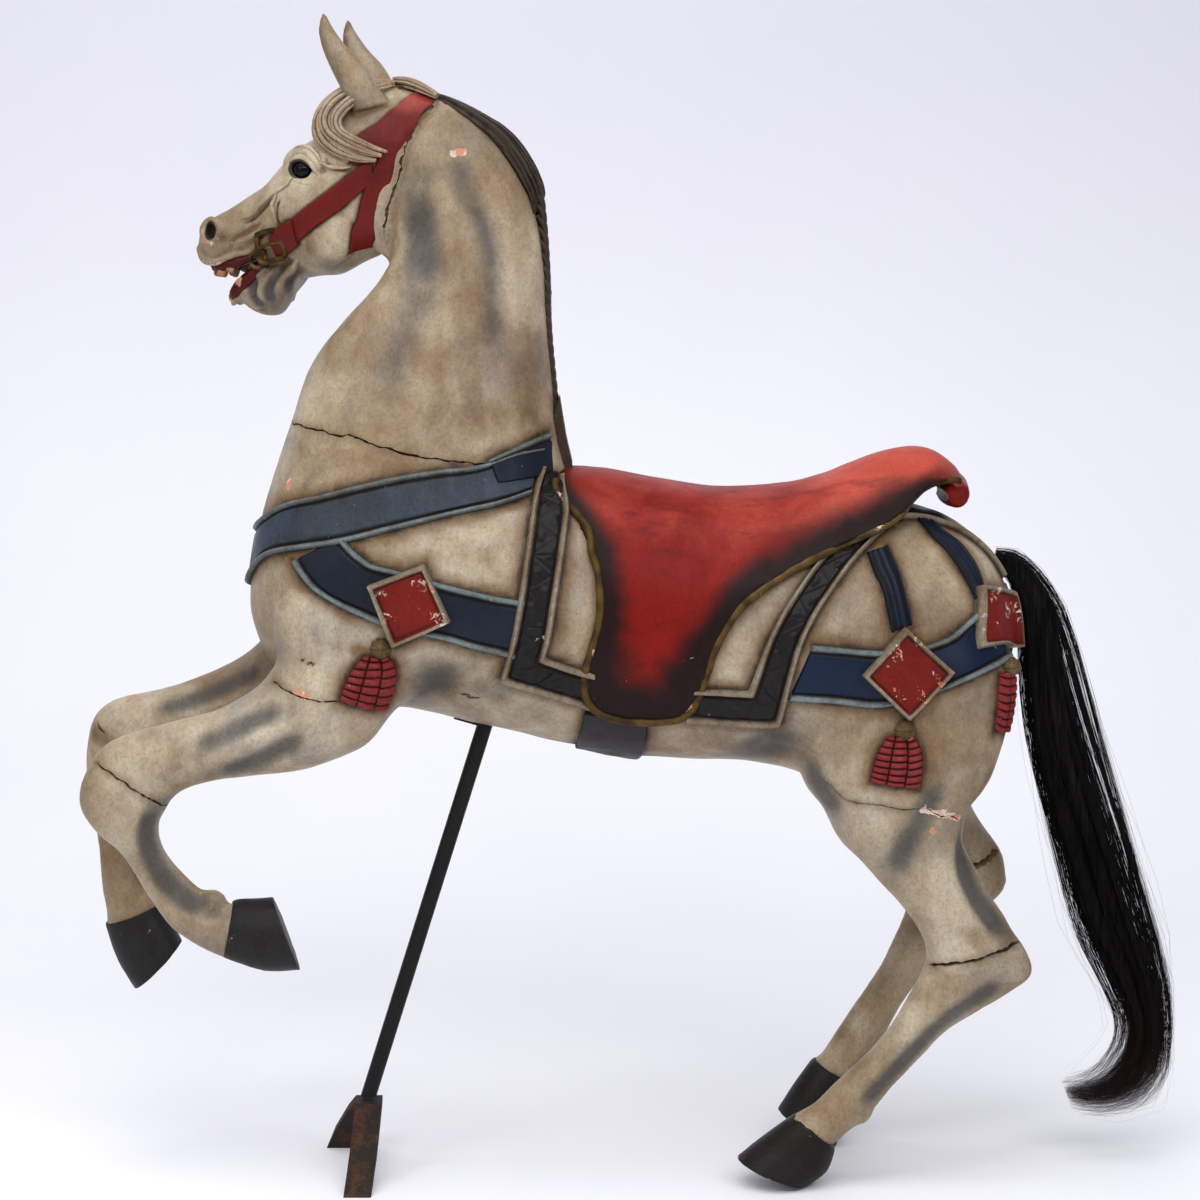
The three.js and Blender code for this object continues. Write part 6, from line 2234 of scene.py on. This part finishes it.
@dataclass
class Bridle:
    """The red head straps with their keeper, buckle and ring."""

    edges: list[np.ndarray] = field(default_factory=list)

    def straps(self) -> list[Ribbon]:
        """The straps of one side of the head."""
        f = Finishes
        plain = {"rise": 3.2, "trim": 0.0, "turned": True, "spacing": 2.0}
        return [
            Ribbon(
                "throat_strap",
                ((-206, -10, 1190), (-209, -24, 1182), (-220, -34, 1168), (-234, -40, 1139),
                 (-242, -42, 1118), (-247, -43, 1097), (-253, -44, 1076), (-259, -42, 1054),
                 (-266, -38, 1033), (-276, -30, 1018)),
                ((-231, -10, 1198), (-240, -24, 1190), (-252, -36, 1173), (-258, -44, 1152),
                 (-266, -48, 1124), (-275, -49, 1103), (-284, -50, 1084), (-290, -50, 1060),
                 (-297, -47, 1033), (-300, -38, 1012)),
                f.bridle, f.bridle, **plain),
            Ribbon("brow_strap", ((-243, -32, 1182), (-256, -38, 1173), (-268, -44, 1160), (-286, -48, 1148),
                                  (-300, -50, 1136)),
                   ((-256, -46, 1130), (-266, -49, 1122), (-276, -50, 1116), (-288, -50, 1112),
                    (-300, -52, 1114)), f.bridle, f.bridle, **plain),
            Ribbon("cheek_strap", ((-272, -50, 1122), (-290, -51, 1110), (-310, -52, 1095), (-332, -52, 1079),
                                   (-355, -50, 1062), (-372, -48, 1048)),
                   ((-272, -50, 1092), (-284, -52, 1084), (-304, -53, 1067), (-327, -53, 1052),
                    (-349, -50, 1037), (-366, -46, 1022)), f.bridle, f.bridle, **plain),
            Ribbon("keeper", ((-360, -50, 1056), (-370, -48, 1054), (-380, -46, 1046), (-392, -42, 1036)),
                   ((-356, -48, 1028), (-364, -46, 1022), (-374, -42, 1016), (-386, -38, 1012)), f.bridle,
                   f.bridle, rise=6.2, trim=0.0, turned=True, spacing=1.6),
        ]

    def fittings(self, side: int) -> bpy.types.Object:
        """The buckle frame, its tongue and the ring at the corner of the mouth."""
        frame_knots = [(-407, -38, 1038), (-394, -42, 1042), (-381, -45, 1042), (-376, -44, 1030),
                       (-374, -42, 1016), (-388, -38, 1011), (-402, -35, 1008), (-406, -36, 1022),
                       (-407, -38, 1038)]
        rows = [(x, -side * y if side > 0 else y, z, 3.4, 3.2) for x, y, z in frame_knots]
        rows = [(x, (abs(y) + 4) * side, z, a, b) for x, y, z, a, b in rows]
        parts = [Tube(rows, 10, 3, turned=True).build("buckle")]
        ring = [(-407 + 9 * math.cos(a), 38 * side, 1012 + 9 * math.sin(a), 2.6, 2.6)
                for a in np.linspace(0, 2 * math.pi, 13)]
        parts.append(Tube(ring, 8, 2, turned=True).build("ring"))
        parts.append(Ball((-405, side * 38, 1018), (8, 5, 7), True).build("rosette"))
        parts.append(Tube([(-378, side * 49, 1030, 2, 2), (-392, side * 47, 1028, 2, 2),
                           (-404, side * 43, 1024, 1.6, 1.6)], 8, 3, turned=True).build("tongue"))
        obj = joined(sided("bridle_buckle", side), parts)
        carver = Carver(obj)
        carver.push(0.4 * value_noise(carver.points, 8, 61))
        carver.masks[Mask.GRIME_AND_SHADE] = np.clip(0.35 + 0.5 * value_noise(carver.points, 7, 62), 0, 0.8)
        carver.write()
        return shade(dress(obj, Finishes.brass))

    def build(self, surface: Surface) -> list[bpy.types.Object]:
        """The bridle on both sides of the head."""
        made = []
        for side in SIDES:
            for strap in self.straps():
                obj, lines = strap.build(surface, side)
                points = read_points(obj)
                paint = Carver(obj)
                marks = np.empty(len(points), np.float32)
                obj.data.attributes[Mask.GRIME_AND_SHADE.value].data.foreach_get("value", marks)
                paint.masks[Mask.GRIME_AND_SHADE] = marks
                paint.masks[Mask.WARM] = ease((points[:, 2] - 1150) / 40)
                paint.write_masks()
                made.append(obj)
                self.edges += lines
            made.append(self.fittings(side))
        return made


# ------------------------------------------------------------------ saddle
@dataclass
class Saddle:
    """The red saddle with its flaps, rolled cantle and old-gold edging."""

    sections: Rows = ((-100, 788, 112), (-73, 788, 128), (-35, 785, 139), (25, 774, 144), (90, 765, 146),
                      (157, 768, 147), (200, 778, 143), (233, 791, 132), (266, 803, 120), (299, 809, 112),
                      (321, 806, 108), (337, 797, 106), (350, 786, 104))
    bottom: float = 478.0
    flap: tuple[tuple[float, float], ...] = (
        (-95, 779), (-83, 757), (-67, 738), (-53, 713), (-43, 687), (-40, 656), (-42, 630), (-48, 608),
        (-55, 586), (-58, 564), (-53, 543), (-42, 532), (-24, 524), (3, 521), (29, 522), (45, 525), (56, 535),
        (64, 549), (71, 571), (81, 604), (95, 630), (110, 651), (129, 666), (150, 679), (172, 692),
        (204, 707), (237, 721), (265, 732))
    lip: tuple[tuple[float, float], ...] = (
        (265, 732), (284, 746), (299, 760), (318, 772), (334, 777), (347, 775))
    edges: list[np.ndarray] = field(default_factory=list)

    def build(self, body: Surface) -> list[bpy.types.Object]:
        """The saddle, its edging and the scroll of the cantle.

        Args:
            body: The carved body that it sits on.

        Returns:
            The pieces.
        """
        rows = [(x, z, x, self.bottom, 0, half, 0.54, 2.3, 2.2) for x, z, half in self.sections]
        seat = Loft(rows, 96, 8).build("saddle_seat")
        outline = (*self.flap, *self.lip[1:], (349, 900), (-95, 900))
        cut(seat, slab("flap_tool", outline, -260, 260, steps=4), "INTERSECT")
        roll = [(345, y, 763 - abs(y) * 0.05, 18 - abs(y) * 0.08, 19 - abs(y) * 0.08)
                for y in (-52, -40, -25, 0, 25, 40, 52)]
        roll = [(345, -56, 761, 8, 8), *roll, (345, 56, 761, 8, 8)]
        saddle = joined("saddle", [seat, self.across(roll)])
        apply_modifier(saddle, "REMESH", mode="VOXEL", voxel_size=0.003)
        apply_modifier(saddle, "SMOOTH", factor=0.5, iterations=5)
        hollow = [(326, y, 758, 9, 8) for y in (-90, -40, 0, 40, 90)]
        cut(saddle, self.across(hollow))
        carver = Carver(saddle)
        carver.push(0.5 * value_noise(carver.points, 60, 71) + 0.2 * value_noise(carver.points, 18, 72))
        carver.write_shape()
        carver = Carver(saddle)
        surface = Surface(saddle)
        self.paint(carver)
        carver.write_masks()
        shade(dress(saddle, Finishes.saddle), 50)
        return [saddle, *self.edging(surface, body)]

    @staticmethod
    def across(rows: Rows) -> bpy.types.Object:
        """A roll along the Y axis with rows (x, y, z, half long, half high)."""
        angle = around(28)
        rings = np.array([np.stack([x + a * np.cos(angle), np.full(len(angle), y), z + b * np.sin(angle)], 1)
                          for x, y, z, a, b in rows], float)
        points, faces = closed_skin(rings)
        return new_mesh("roll", points, faces)

    def paint(self, carver: Carver) -> None:
        """Red in the middle, charcoal towards the edges, lighter on top as a painted highlight."""
        points = carver.points
        line = np.insert(smooth_rows((*self.flap, *self.lip[1:]), 3), 1, 0.0, axis=1)
        flat = points * (1, 0, 1)
        gap = distance_to_path(flat, line, 130)
        rear = ease((points[:, 0] - 60) / 120)
        reach = 48 + 12 * rear - 14 * ease((points[:, 2] - 700) / 60) * (1 - rear)
        reach = reach - 34 * ease((points[:, 0] - 250) / 60)
        low = ease((640 - points[:, 2]) / 90)
        edge = 1 - ease((gap - 4) / (reach * (1 + 1.25 * low)))
        back = ease((points[:, 0] - 300) / 40)
        edge = edge * (1 - 0.5 * back)
        carver.masks[Mask.EDGE] = np.where(np.isfinite(gap), edge, 0)
        carver.lift(Mask.EDGE, 0.4 * back * ease((790 - points[:, 2]) / 30))
        pommel = ease((-30 - points[:, 0]) / 50) * ease((points[:, 2] - 690) / 40)
        carver.lift(Mask.EDGE, 0.45 * pommel)
        # Painted highlight: faces that look up take the lighter red, more so towards the cantle.
        top = ease((carver.normals[:, 2] - 0.2) / 0.6)
        carver.masks[Mask.WARM] = top * (0.3 + 0.5 * ease((points[:, 0] - 120) / 160)) + 0.12
        carver.carve([bare(((18, -102, 717), (23, -102, 714)), 4, 0, 0.9),
                      bare(((66, -110, 704), (67, -111, 698)), 4, 0, 0.8),
                      bare(((13, -132, 603), (16, -132, 600)), 3.5, 0, 0.8),
                      bare(((18, -124, 556), (24, -124, 554)), 5, 0, 0.9),
                      bare(((196, -122, 732), (222, -118, 738)), 3.5, 0, 0.8),
                      bare(((-52, -118, 590), (-50, -118, 585)), 5, 0, 0.8)])

    def edging(self, surface: Surface, body: Surface) -> list[bpy.types.Object]:
        """The raised gold cord along the flaps and the cantle."""
        made = []
        for side in SIDES:
            path = resampled(smooth_rows((*self.flap, *self.lip[1:]), 4), 230)
            spots = self.side_hit(surface, body, path, side)
            self.edges.append(spots[spots[:, 0] < 250])
            cord = [(x, y, z, 4.4, 4.4) for x, y, z in spots]
            obj = Tube(cord, 10, 1).build(sided("saddle_edging", side))
            carver = Carver(obj)
            carver.push(0.4 * value_noise(carver.points, 12, 73))
            carver.masks[Mask.GRIME_AND_SHADE] = np.clip(0.25 + 0.45 * value_noise(carver.points, 16, 74), 0, 0.6)
            carver.masks[Mask.BARE] = np.clip(value_noise(carver.points, 22, 75) - 0.45, 0, 0.5)
            carver.write()
            made.append(shade(dress(obj, Finishes.gold_trim)))
        return made

    @staticmethod
    def side_hit(surface: Surface, body: Surface, path: np.ndarray, side: int) -> np.ndarray:
        """Where lines from the side meet the saddle's outside, for (x, z) points."""
        spots = []
        middle = path.mean(0) + (10, 90)
        for x, z in path:
            under = body.from_side(x, z, side)
            least = under + 3 if under > 0 else 24.0
            for pull in (0.0, 0.01, 0.02, 0.035, 0.05, 0.07, 0.1, 0.14, 0.2):
                near_x, near_z = x + (middle[0] - x) * pull, z + (middle[1] - z) * pull
                out = surface.from_side(near_x, near_z, side)
                if out > least:
                    spots.append((x + (near_x - x) * 0.4, side * (out - 0.5), z + (near_z - z) * 0.4))
                    break
        line = np.array(spots)
        for _ in range(6):
            line[1:-1] = 0.5 * line[1:-1] + 0.25 * (line[:-2] + line[2:])
        return line


# ------------------------------------------------------------------ carved and real hair
@dataclass
class CarvedHair:
    """Forelock, crest, hanging locks and the thin braid down the neck."""

    crest: Rows = ((-262, 1196), (-235, 1192), (-205, 1182), (-175, 1168), (-150, 1152), (-128, 1130),
                   (-112, 1106), (-103, 1080), (-100, 1062))
    neck_line: Rows = ((-103, 1080), (-100, 1050), (-97, 1000), (-96, 950), (-92, 900), (-87, 855),
                       (-80, 822))
    hanging: int = 15
    surfaces: tuple[Surface, ...] = ()

    def rest(self, guess: np.ndarray) -> tuple[np.ndarray, np.ndarray]:
        """The spot of the neck and head nearest to one guessed point, and its normal."""
        found = [surface.snap(guess) for surface in self.surfaces]
        spots = sorted(found, key=lambda pair: float(np.linalg.norm(pair[0][0] - guess[0])))
        return spots[0][0][0], spots[0][1][0]

    def forelocks(self) -> bpy.types.Object:
        """The grey forelock that curls round the brow to the cheek."""
        locks = (
            ((-262, -6, 1199, 6, 5), (-290, -26, 1196, 9, 7), (-314, -38, 1184, 10, 8),
             (-326, -44, 1166, 10, 8), (-322, -48, 1149, 9, 8), (-304, -52, 1136, 7, 7),
             (-282, -54, 1127, 4.5, 5), (-262, -54, 1122, 1.5, 2)),
            ((-266, -2, 1200, 6, 5), (-298, -20, 1196, 9, 7), (-322, -32, 1182, 10, 8),
             (-334, -40, 1162, 10, 8), (-330, -46, 1143, 9, 8), (-314, -51, 1129, 7, 7),
             (-290, -54, 1120, 4.5, 5), (-268, -54, 1117, 1.5, 2)),
            ((-270, 4, 1200, 6, 5), (-302, -10, 1194, 9, 7), (-326, -22, 1178, 10, 8),
             (-338, -32, 1158, 9, 7), (-334, -40, 1140, 8, 7), (-318, -47, 1126, 6, 6),
             (-298, -52, 1117, 3, 3)),
            ((-264, -12, 1198, 5, 5), (-284, -32, 1190, 8, 7), (-302, -42, 1178, 9, 7),
             (-313, -47, 1163, 8, 7), (-309, -51, 1149, 7, 6), (-294, -54, 1140, 5, 5),
             (-272, -54, 1131, 3, 3), (-256, -53, 1126, 1, 1.5)),
            ((-274, 12, 1198, 6, 5), (-306, 4, 1190, 8, 7), (-328, -6, 1172, 8, 7), (-338, -18, 1154, 7, 6),
             (-330, -28, 1144, 5, 4), (-318, -34, 1142, 2, 2)),
        )
        parts = [Tube(knots, 30, 8, turned=True, ridges=6, ridge_depth=0.24, twist=0.8).build("lock")
                 for knots in locks]
        back = ((-262, 6, 1202, 9, 7), (-245, -4, 1200, 10, 7), (-228, -10, 1194, 9, 6),
                (-212, -12, 1186, 6, 4))
        parts.append(Tube(back, 30, 6, turned=True, ridges=7, ridge_depth=0.22).build("lock"))
        return self.finish(joined("forelock", parts), Finishes.forelock, 81)

    def mane(self) -> bpy.types.Object:
        """The dark mane: rolls along the crest and locks down the right side of the neck."""
        crest = smooth_rows(self.crest, 3)
        parts = []
        for i in range(11):
            share = i / 10
            knots = []
            for k, (x, z) in enumerate(crest):
                t = k / (len(crest) - 1)
                turn = -0.62 + 1.6 * share + 0.10 * math.sin(5 * t + 2.3 * i) + 0.3 * (1 - share) * (1 - t)
                nx, nz = 0.35 + 0.6 * t, 0.94 - 0.5 * t
                guess = np.array([[x + nx * 26 * math.cos(turn), 34 * math.sin(turn),
                                   z + nz * 26 * math.cos(turn)]])
                spot, normal = self.rest(guess)
                swell = math.sin(math.pi * min(1.0, 0.06 + 0.93 * t ** 1.3))
                size = 1.6 + 6.6 * swell * (0.8 + 0.2 * math.sin(i * 1.9))
                lift = size * 0.35 + 13 * ease((t - 0.2) / 0.5) * ease((1.04 - t) / 0.2) * (
                    0.35 + 0.65 * math.sin(math.pi * share))
                knots.append((*(spot + normal * lift), size * 1.25, size))
            parts.append(Tube(knots, 24, 2, ridges=4, ridge_depth=0.42, twist=0.5).build("roll"))
        line = np.vstack([crest[2:], np.array(self.neck_line, float)[1:5]])
        for i in range(self.hanging):
            t = i / (self.hanging - 1)
            spot = resampled(line, 100)[int(t * 99)]
            out, fall = 44 + 34 * t, 96 + 20 * math.sin(i * 2.4)
            x, z = spot
            knots = [(x - 16, 14, z - 6, 7, 8), (x - 16, out * 0.6 + 6, z - fall * 0.2, 10, 12),
                     (x - 14 - 6 * math.sin(i * 1.7), out + 4, z - fall * 0.5, 9, 12),
                     (x - 34, out + 9, z - fall * 0.85, 6, 8),
                     (x - 46 - 8 * math.sin(i), out + 9, z - fall, 2, 3)]
            parts.append(Tube(knots, 26, 7, ridges=5, ridge_depth=0.28, twist=1.4).build("lock"))
        return self.finish(joined("mane", parts), Finishes.mane, 82)

    def braid(self) -> bpy.types.Object:
        """The serrated plait down the back of the neck and its wedge at the withers."""
        line = resampled(smooth_rows(self.neck_line, 5), 21)
        parts = []
        for i, (x, z) in enumerate(line[:-1]):
            nx, nz = line[i + 1]
            for y, swing in ((-5, 0.0), (6, 8.0)):
                parts.append(Tube(((x - 8, y, z + 5 - swing, 4, 4), (x - 1, y, z - 4 - swing, 5.5, 4.4),
                                   (nx - 0.5, y * 0.6, nz - 4 - swing, 4.4, 3.6),
                                   (nx - 5, 0, nz - 14 - swing, 2, 2)), 14, 4, ridges=3,
                                  ridge_depth=0.2).build("plait"))
        corners = ((-84, 866), (-95, 826), (-110, 788), (-88, 786), (-70, 784), (-77, 822))
        parts.append(slab("wedge", corners, -18, 18, steps=3))
        return self.finish(joined("braid", parts), Finishes.mane, 83)

    @staticmethod
    def finish(obj: bpy.types.Object, paint: Finish, seed: int) -> bpy.types.Object:
        """Dresses carved hair, its grooves dark and its ridges worn."""
        face_out(obj)
        carver = Carver(obj)
        hollow = carver.cavity(2)
        carver.masks[Mask.GRIME_AND_SHADE] = np.clip(hollow / 0.35, 0, 0.95)
        carver.masks[Mask.BARE] = np.clip(value_noise(carver.points, 30, seed) - 0.75, 0, 0.4)
        carver.write_masks()
        return shade(dress(obj, paint), 60)

    def build(self) -> list[bpy.types.Object]:
        """All the carved hair."""
        return [self.forelocks(), self.mane(), self.braid()]


@dataclass
class Tail:
    """The tail of real horsehair, let into the rump."""

    rows: Rows = (
        (394, 672, 395, 694, 10), (410, 664, 419, 690, 18), (417, 642, 446, 664, 25),
        (421, 607, 471, 620, 31), (423, 545, 492, 553, 35), (431, 476, 513, 484, 39),
        (448, 402, 538, 410, 41), (469, 334, 560, 342, 41), (490, 268, 581, 276, 39),
        (519, 214, 595, 224, 35), (540, 168, 604, 172, 31), (537, 136, 602, 114, 27),
        (516, 108, 576, 71, 22), (494, 97, 524, 60, 15), (479, 92, 489, 66, 6))
    pieces: int = 4
    strands: int = 800
    locks: int = 64
    segments: int = 16
    thickness: float = 0.19
    limit_x: float = 603.0
    stray_share: float = 0.06
    third_turn: float = 2.094

    def build(self, part: int) -> bpy.types.Object:
        """A share of the hairs as thin three-sided strands, in one piece.

        Args:
            part: Which share.

        Returns:
            The piece.
        """
        rng = np.random.default_rng(7 + part)
        table = smooth_rows(self.rows, 6)
        levels = np.linspace(0, 1, len(table))
        n, m = self.strands, self.segments
        stray = np.arange(n) < n * self.stray_share
        shared = np.random.default_rng(5)
        lock_a, lock_b = np.clip(shared.normal(0, 0.42, (2, self.locks)), -1.0, 1.0)
        lock_a = 0.5 + 0.5 * lock_a
        bend = shared.uniform(0, 6.28, (2, self.locks))
        lock = rng.integers(0, self.locks, n)
        start = np.where(rng.uniform(size=n) < 0.7, 0.0, rng.uniform(0, 0.15, n))
        long = rng.uniform(size=n) < 0.5
        end = np.where(long, 1 - np.abs(rng.normal(0, 0.08, n)), rng.uniform(0.4, 0.97, n))
        end = np.maximum(end, 0.4)
        t = start[:, None] + (end - start)[:, None] * np.linspace(0, 1, m)[None]
        ix, iz, ox, oz, half = [np.interp(t, levels, table[:, k]) for k in range(5)]
        spread = 0.2 - 0.15 * ease(t / 0.3) + 0.26 * ease((t - 0.8) / 0.2)
        loose = np.where(stray, 0.4, 0.03)[:, None] * t
        sway = rng.uniform(0, 6.28, (4, n, 1))
        swing = 0.07 * ease(t / 0.4)
        a = (lock_a[lock][:, None] + 0.5 * spread * rng.normal(0, 1, (n, 1))
             + swing * np.sin(bend[0][lock][:, None] + 7 * t) + loose * np.sin(sway[0] + t * (3 + sway[1])))
        b = (lock_b[lock][:, None] + spread * rng.normal(0, 1, (n, 1))
             + swing * np.sin(bend[1][lock][:, None] + 6 * t) + loose * np.sin(sway[2] + t * (3 + sway[3])))
        kept = ~stray
        a[kept], b[kept] = np.clip(a[kept], -0.16, 1.2), np.clip(b[kept], -1.4, 1.4)
        line = np.stack([ix + (ox - ix) * a, half * b, iz + (oz - iz) * a], 2)
        line[..., 0] = np.minimum(line[..., 0], self.limit_x - rng.uniform(0, 6, (n, 1)))
        line[..., 2] = np.maximum(line[..., 2], 3)
        line[..., 1] = np.clip(line[..., 1], -90, 90)
        along = unit(np.gradient(line, axis=1))
        side = unit(np.cross(along, (0.3, 1.0, 0.2)))
        over = np.cross(along, side)
        size = self.thickness * np.where(stray, 0.55, 1)[:, None] * np.clip(
            (1 - np.linspace(0, 1, m)[None]) * 4, 0.3, 1)
        corners = [(math.cos(self.third_turn * k), math.sin(self.third_turn * k)) for k in range(3)]
        rings = np.stack([line + (side * c + over * s) * size[..., None] for c, s in corners], 1)
        block = []
        for i in range(m - 1):
            for k in range(3):
                p, q = k * m, (k + 1) % 3 * m
                block.append((p + i, q + i, q + i + 1, p + i + 1))
        quads = (np.array(block)[None] + (np.arange(n) * 3 * m)[:, None, None]).reshape(-1, 4)
        caps = (np.array([(0, m, 2 * m), (m - 1, 3 * m - 1, 2 * m - 1)])[None]
                + (np.arange(n) * 3 * m)[:, None, None]).reshape(-1, 3)
        obj = new_mesh(f"tail_hair_{part + 1}", rings.reshape(-1, 3), [*quads.tolist(), *caps.tolist()])
        warm = np.repeat((ease((t - 0.6) / 0.4) * rng.uniform(0.3, 1.0, (n, 1)))[:, None], 3, 1)
        store_masks(obj, {Mask.WARM: warm.ravel()})
        return dress(obj, Finishes.horsehair)

    def core(self) -> bpy.types.Object:
        """The dense heart of the tail that no light passes."""
        rows = []
        for i, (ix, iz, ox, oz, half) in enumerate(self.rows[:8]):
            pinch = 0.14 + 0.26 * max(0, i - 2) / 5
            dx, dz = ox - ix, oz - iz
            rows.append((ix + dx * pinch, iz + dz * pinch, ox - dx * pinch, oz - dz * pinch, 0,
                         half * (0.9 - pinch)))
        obj = Loft(rows, 24, 4).build("tail_core")
        store_masks(obj, {Mask.WARM: np.zeros(len(obj.data.vertices))})
        return shade(dress(obj, Finishes.horsehair))


# ------------------------------------------------------------------ stand
@dataclass
class Stand:
    """The iron rod and bent foot: the CAD solids keep their shape and take worn iron."""

    def build(self) -> None:
        """Dresses the stand's CAD nodes."""
        for node, finish, slot in (("stand_rod", Finishes.rod, "rod_iron"),
                                   ("stand_foot", Finishes.foot, "foot_iron"),
                                   ("stand_plate", Finishes.rod, "rod_iron")):
            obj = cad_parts[node]
            dress(obj, finish)
            LOG.info("%s: dressed", node)


def main() -> None:
    """Builds every sub-assembly in order and dresses it."""
    logging.basicConfig(level=logging.INFO, format="%(asctime)s %(message)s", force=True)
    body_maker, head_maker = CarvedBody(), Head()
    body, body_surface = body_maker.build()
    LOG.info("body carved")
    head, head_surface = head_maker.build()
    LOG.info("head carved")
    harness, bridle, saddle = Harness(), Bridle(), Saddle()
    wooden = harness.build(body_surface)
    LOG.info("harness laid")
    wooden += bridle.build(head_surface)
    LOG.info("bridle laid")
    wooden += saddle.build(body_surface)
    LOG.info("saddle set")
    body_maker.paint(body, harness.edges + saddle.edges)
    head_maker.paint(head, bridle.edges)
    LOG.info("coat painted")
    carry(body, "carved_wood", "horse")
    carry(head, "carved_wood", "horse")
    wooden += [Hooves().build(), *Mouth().build(),
               *CarvedHair(surfaces=(body_surface, head_surface)).build()]
    for piece in wooden:
        carry(piece, "carved_wood", "horse")
    Eyes().build()
    tail = Tail()
    for part in range(tail.pieces):
        carry(tail.build(part), "horsehair", "tail")
    carry(tail.core(), "horsehair", "tail")
    Stand().build()
    Studio().build()


if __name__ == "__main__":
    main()
